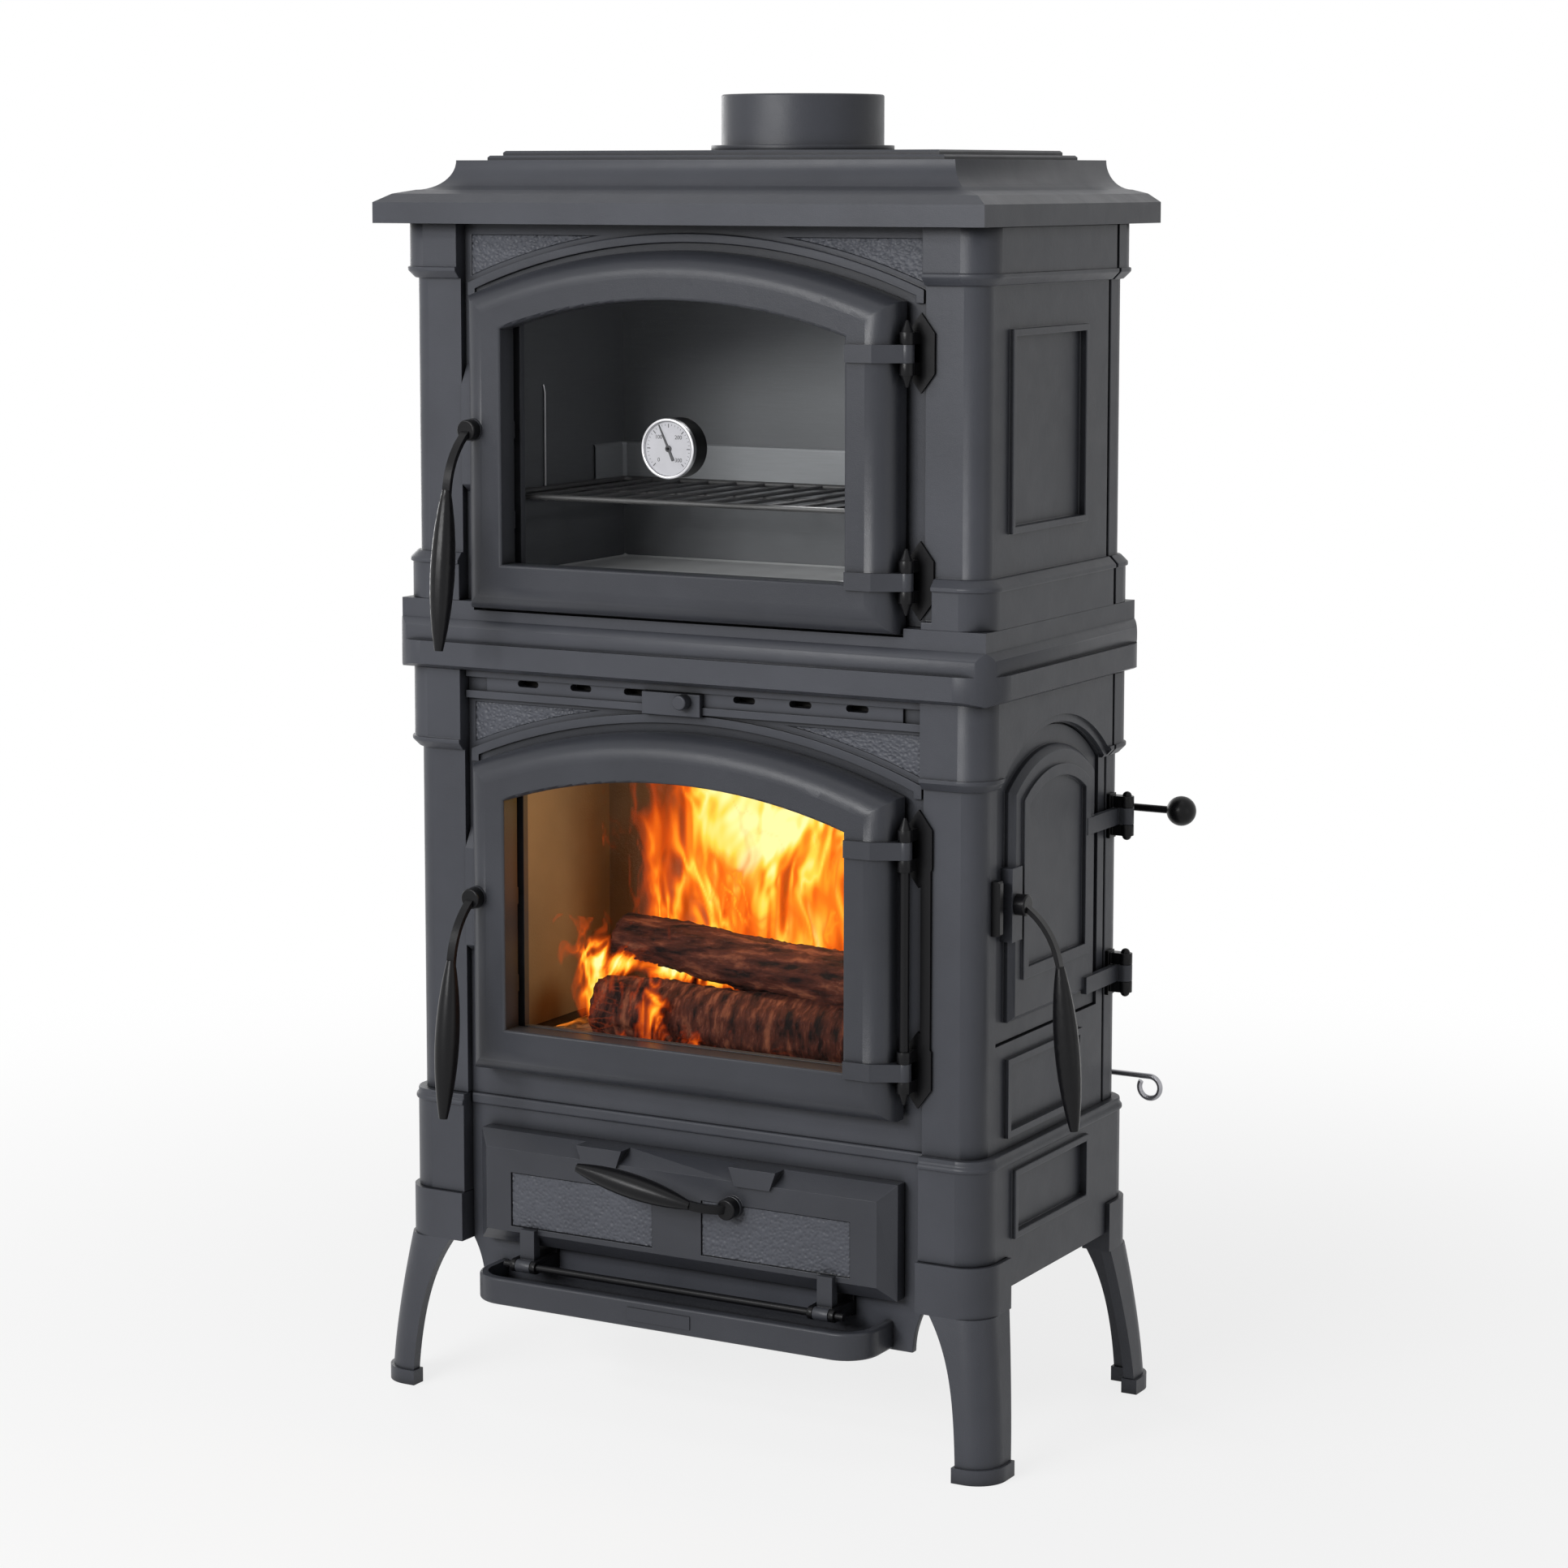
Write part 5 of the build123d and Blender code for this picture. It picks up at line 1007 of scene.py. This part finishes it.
# Wires up the oven's side walls that carry the rack, with a bent top end
hanger_x = 254.5
hanger_tip_x = 256.6
hanger_y = -41
hanger_foot = 962
hanger_bend = 1080
hanger_tip = 1088
hanger_radius = 1.3
for side, label in ((-1, "left"), (1, "right")):
    route = [
        (side * hanger_x, hanger_y, hanger_foot),
        (side * hanger_x, hanger_y, hanger_bend),
        (side * hanger_tip_x, hanger_y, hanger_tip),
    ]
    wire(f"rack_hanger_{label}", route, hanger_radius, "stove_body", wire_steel)

# Raised band around the oven's walls in lighter steel, a painted reflection of a window in the glass:
# heights with how far it stands off the wall there, and corners of its path, each with the direction of the
# wall behind it
painted_reflection_profile = [(974, 0.0), (975.5, 2.2), (978, 3.0), (1013, 3.0), (1015.5, 2.2), (1017, 0.0)]
painted_reflection_path = [
    (-256.9, 62, -1, 0),
    (-256.9, 120, -1, 0),
    (-251, 126.8, 0, 1),
    (251, 126.8, 0, 1),
    (256.9, 120, 1, 0),
    (256.9, 62, 1, 0),
]
points = []
for z, depth in painted_reflection_profile:
    points.append([at(x - wall_x * depth, y - wall_y * depth, z) for x, y, wall_x, wall_y in painted_reflection_path])
mesh, _ = grid(points)
new_piece("oven_painted_reflection", outward(mesh), "stove_body", painted_reflection_steel, smooth=False)

# Bent sheet behind the slots of the air slider
deflector_half = 262
points = []
for y, z in ((-139, 793), (-139, 757), (-146, 749)):
    points.append([at(x, y, z) for x in (-deflector_half, deflector_half)])
mesh, _ = grid(points)
new_piece("air_deflector", mesh, "stove_body", soot_steel, smooth=False)

# Tray on the oven's floor, with its rims turned up
tray_z = 887.3
tray_lip = 1.6
tray_front = -150
tray_back = 124
tray_half = 254
tray_flat_front = -148
tray_flat_back = 120
tray_flat_half = 250
points = []
for y in (tray_front, tray_flat_front, tray_flat_back, tray_back):
    row_z = tray_z + (tray_lip if y in (tray_front, tray_back) else 0.0)
    line = []
    for x in (-tray_half, -tray_flat_half, tray_flat_half, tray_half):
        line.append(at(x, y, row_z + (tray_lip if abs(x) > tray_flat_half else 0.0)))
    points.append(line)
mesh, _ = grid(points)
new_piece("oven_tray", outward(mesh), "stove_body", tray_steel, smooth=False)

# Floor and background. Both turn white for the rays that are seen, mirrored or pass through glass,
# the floor only partly near the stove, where it keeps the stove's shadow. Lengths here are in metres
floor_half = 14
floor_drop = 0.0005
floor_grey = (0.86, 0.86, 0.86)
shadow_near = 0.5
shadow_far = 2.4
white_share_near = 0.80
world_strength = 0.14


def white_background(tree):
    """Output that is 1 for the rays that show the white background."""
    path = tree.nodes.new("ShaderNodeLightPath")
    first = tree.nodes.new("ShaderNodeMath")
    first.operation = "MAXIMUM"
    second = tree.nodes.new("ShaderNodeMath")
    second.operation = "MAXIMUM"
    tree.links.new(path.outputs["Is Camera Ray"], first.inputs[0])
    tree.links.new(path.outputs["Is Glossy Ray"], first.inputs[1])
    tree.links.new(first.outputs["Value"], second.inputs[0])
    tree.links.new(path.outputs["Is Transmission Ray"], second.inputs[1])
    return second.outputs["Value"]


floor_mesh = bmesh.new()
bmesh.ops.create_grid(floor_mesh, x_segments=2, y_segments=2, size=floor_half)
floor_data = bpy.data.meshes.new("floor")
floor_mesh.to_mesh(floor_data)
floor_mesh.free()
floor = in_scene("floor", floor_data)
floor.location = (0, 0, -floor_drop)
ground = Shader("floor_white", floor_grey, 0.7, specular=0.1)
reach = ground.node("ShaderNodeVectorMath", operation="LENGTH")
ground.link(ground.place, reach.inputs[0])
away = ground.node("ShaderNodeMapRange", interpolation_type="SMOOTHSTEP")
away.inputs["From Min"].default_value = shadow_near
away.inputs["From Max"].default_value = shadow_far
away.inputs["To Min"].default_value = white_share_near
away.inputs["To Max"].default_value = 1.0
ground.link(reach.outputs["Value"], away.inputs["Value"])
blend = ground.node("ShaderNodeMath", operation="MULTIPLY")
ground.link(away.outputs["Result"], blend.inputs[0])
ground.link(white_background(ground.tree), blend.inputs[1])
plain_white = ground.node("ShaderNodeEmission")
plain_white.inputs["Color"].default_value = (*white, 1)
ground.mixed(blend.outputs["Value"], ground.main.outputs["BSDF"], plain_white.outputs["Emission"])
floor_data.materials.append(ground.material)

world = bpy.data.worlds.new("studio")
bpy.context.scene.world = world
world.use_nodes = True
sky = world.node_tree
dim = sky.nodes["Background"]
dim.inputs["Color"].default_value = (*white, 1)
dim.inputs["Strength"].default_value = world_strength
bright = sky.nodes.new("ShaderNodeBackground")
bright.inputs["Color"].default_value = (*white, 1)
bright.inputs["Strength"].default_value = 1.0
sky_mix = sky.nodes.new("ShaderNodeMixShader")
sky.links.new(white_background(sky), sky_mix.inputs["Fac"])
sky.links.new(dim.outputs["Background"], sky_mix.inputs[1])
sky.links.new(bright.outputs["Background"], sky_mix.inputs[2])
sky.links.new(sky_mix.outputs["Shader"], sky.nodes["World Output"].inputs["Surface"])

# Lamps, hidden from the camera because they would show through the glass


def lamp_at(name, lamp, place, target):
    """Lamp in the scene, aimed from its place at a target."""
    holder = in_scene(name, lamp)
    holder.location = place
    holder.rotation_mode = "QUATERNION"
    holder.rotation_quaternion = (Vector(target) - Vector(place)).to_track_quat("-Z", "Y")
    holder.visible_camera = False


def softbox(name, place, target, width, height, power, colour=white):
    """Rectangular soft light: size in metres, power in watts."""
    lamp = bpy.data.lights.new(name, "AREA")
    lamp.shape = "RECTANGLE"
    lamp.size = width
    lamp.size_y = height
    lamp.energy = power
    lamp.color = colour
    lamp_at(name, lamp, place, target)


softbox("key_front", place=(-0.6, -4.3, 2.1), target=(0, 0, 0.75), width=1.8, height=1.0, power=118)
softbox("high_strip", place=(-2.2, -3.8, 3.1), target=(0, 0, 0.8), width=1.8, height=0.3, power=44)
softbox("top_light", place=(0.2, -0.6, 3.6), target=(0, 0, 0.9), width=2.4, height=1.4, power=7)
softbox("fill_right", place=(3.7, -0.9, 0.9), target=(0, 0, 0.75), width=1.4, height=2.2, power=6)
softbox("rear_fill", place=(-3.2, 2.4, 1.3), target=(0, 0, 0.75), width=1.6, height=1.8, power=24)

# Small lamps inside the stove: under the oven's roof, in the fire, and a beam on the oven's tray
softbox(
    "oven_wash",
    place=at(60, -100, 1196),
    target=at(-60, 60, 960),
    width=0.10,
    height=0.05,
    power=0.22,
)
softbox(
    "fire_glow",
    place=at(120, -40, 745),
    target=at(-190, -40, 400),
    width=0.10,
    height=0.06,
    power=0.9,
    colour=(1.0, 0.72, 0.42),
)
beam = bpy.data.lights.new("oven_beam", "SPOT")
beam.energy = 4
beam.spot_size = math.radians(36)
beam.spot_blend = 0.2
beam.shadow_soft_size = 0.006
lamp_at("oven_beam", beam, place=at(40, -60, 1204), target=at(150, -80, 888))

# Camera, turned round from the front and pitched down
camera_turn = math.radians(29.3734)
camera_pitch = math.radians(6.8266)
lens = bpy.data.cameras.new("camera")
lens.lens = 89.9
lens.sensor_width = 36
lens.shift_x = 0.0142
lens.shift_y = -0.09
lens.clip_end = 50
eye = in_scene("camera", lens)
eye.location = at(2041.7, -3639.5, 1315.4)
level = math.cos(camera_pitch)
back = Vector((math.sin(camera_turn) * level, -math.cos(camera_turn) * level, math.sin(camera_pitch)))
eye.rotation_mode = "QUATERNION"
eye.rotation_quaternion = (-back).to_track_quat("-Z", "Y")
bpy.context.scene.camera = eye
bpy.context.scene.view_settings.view_transform = "Standard"
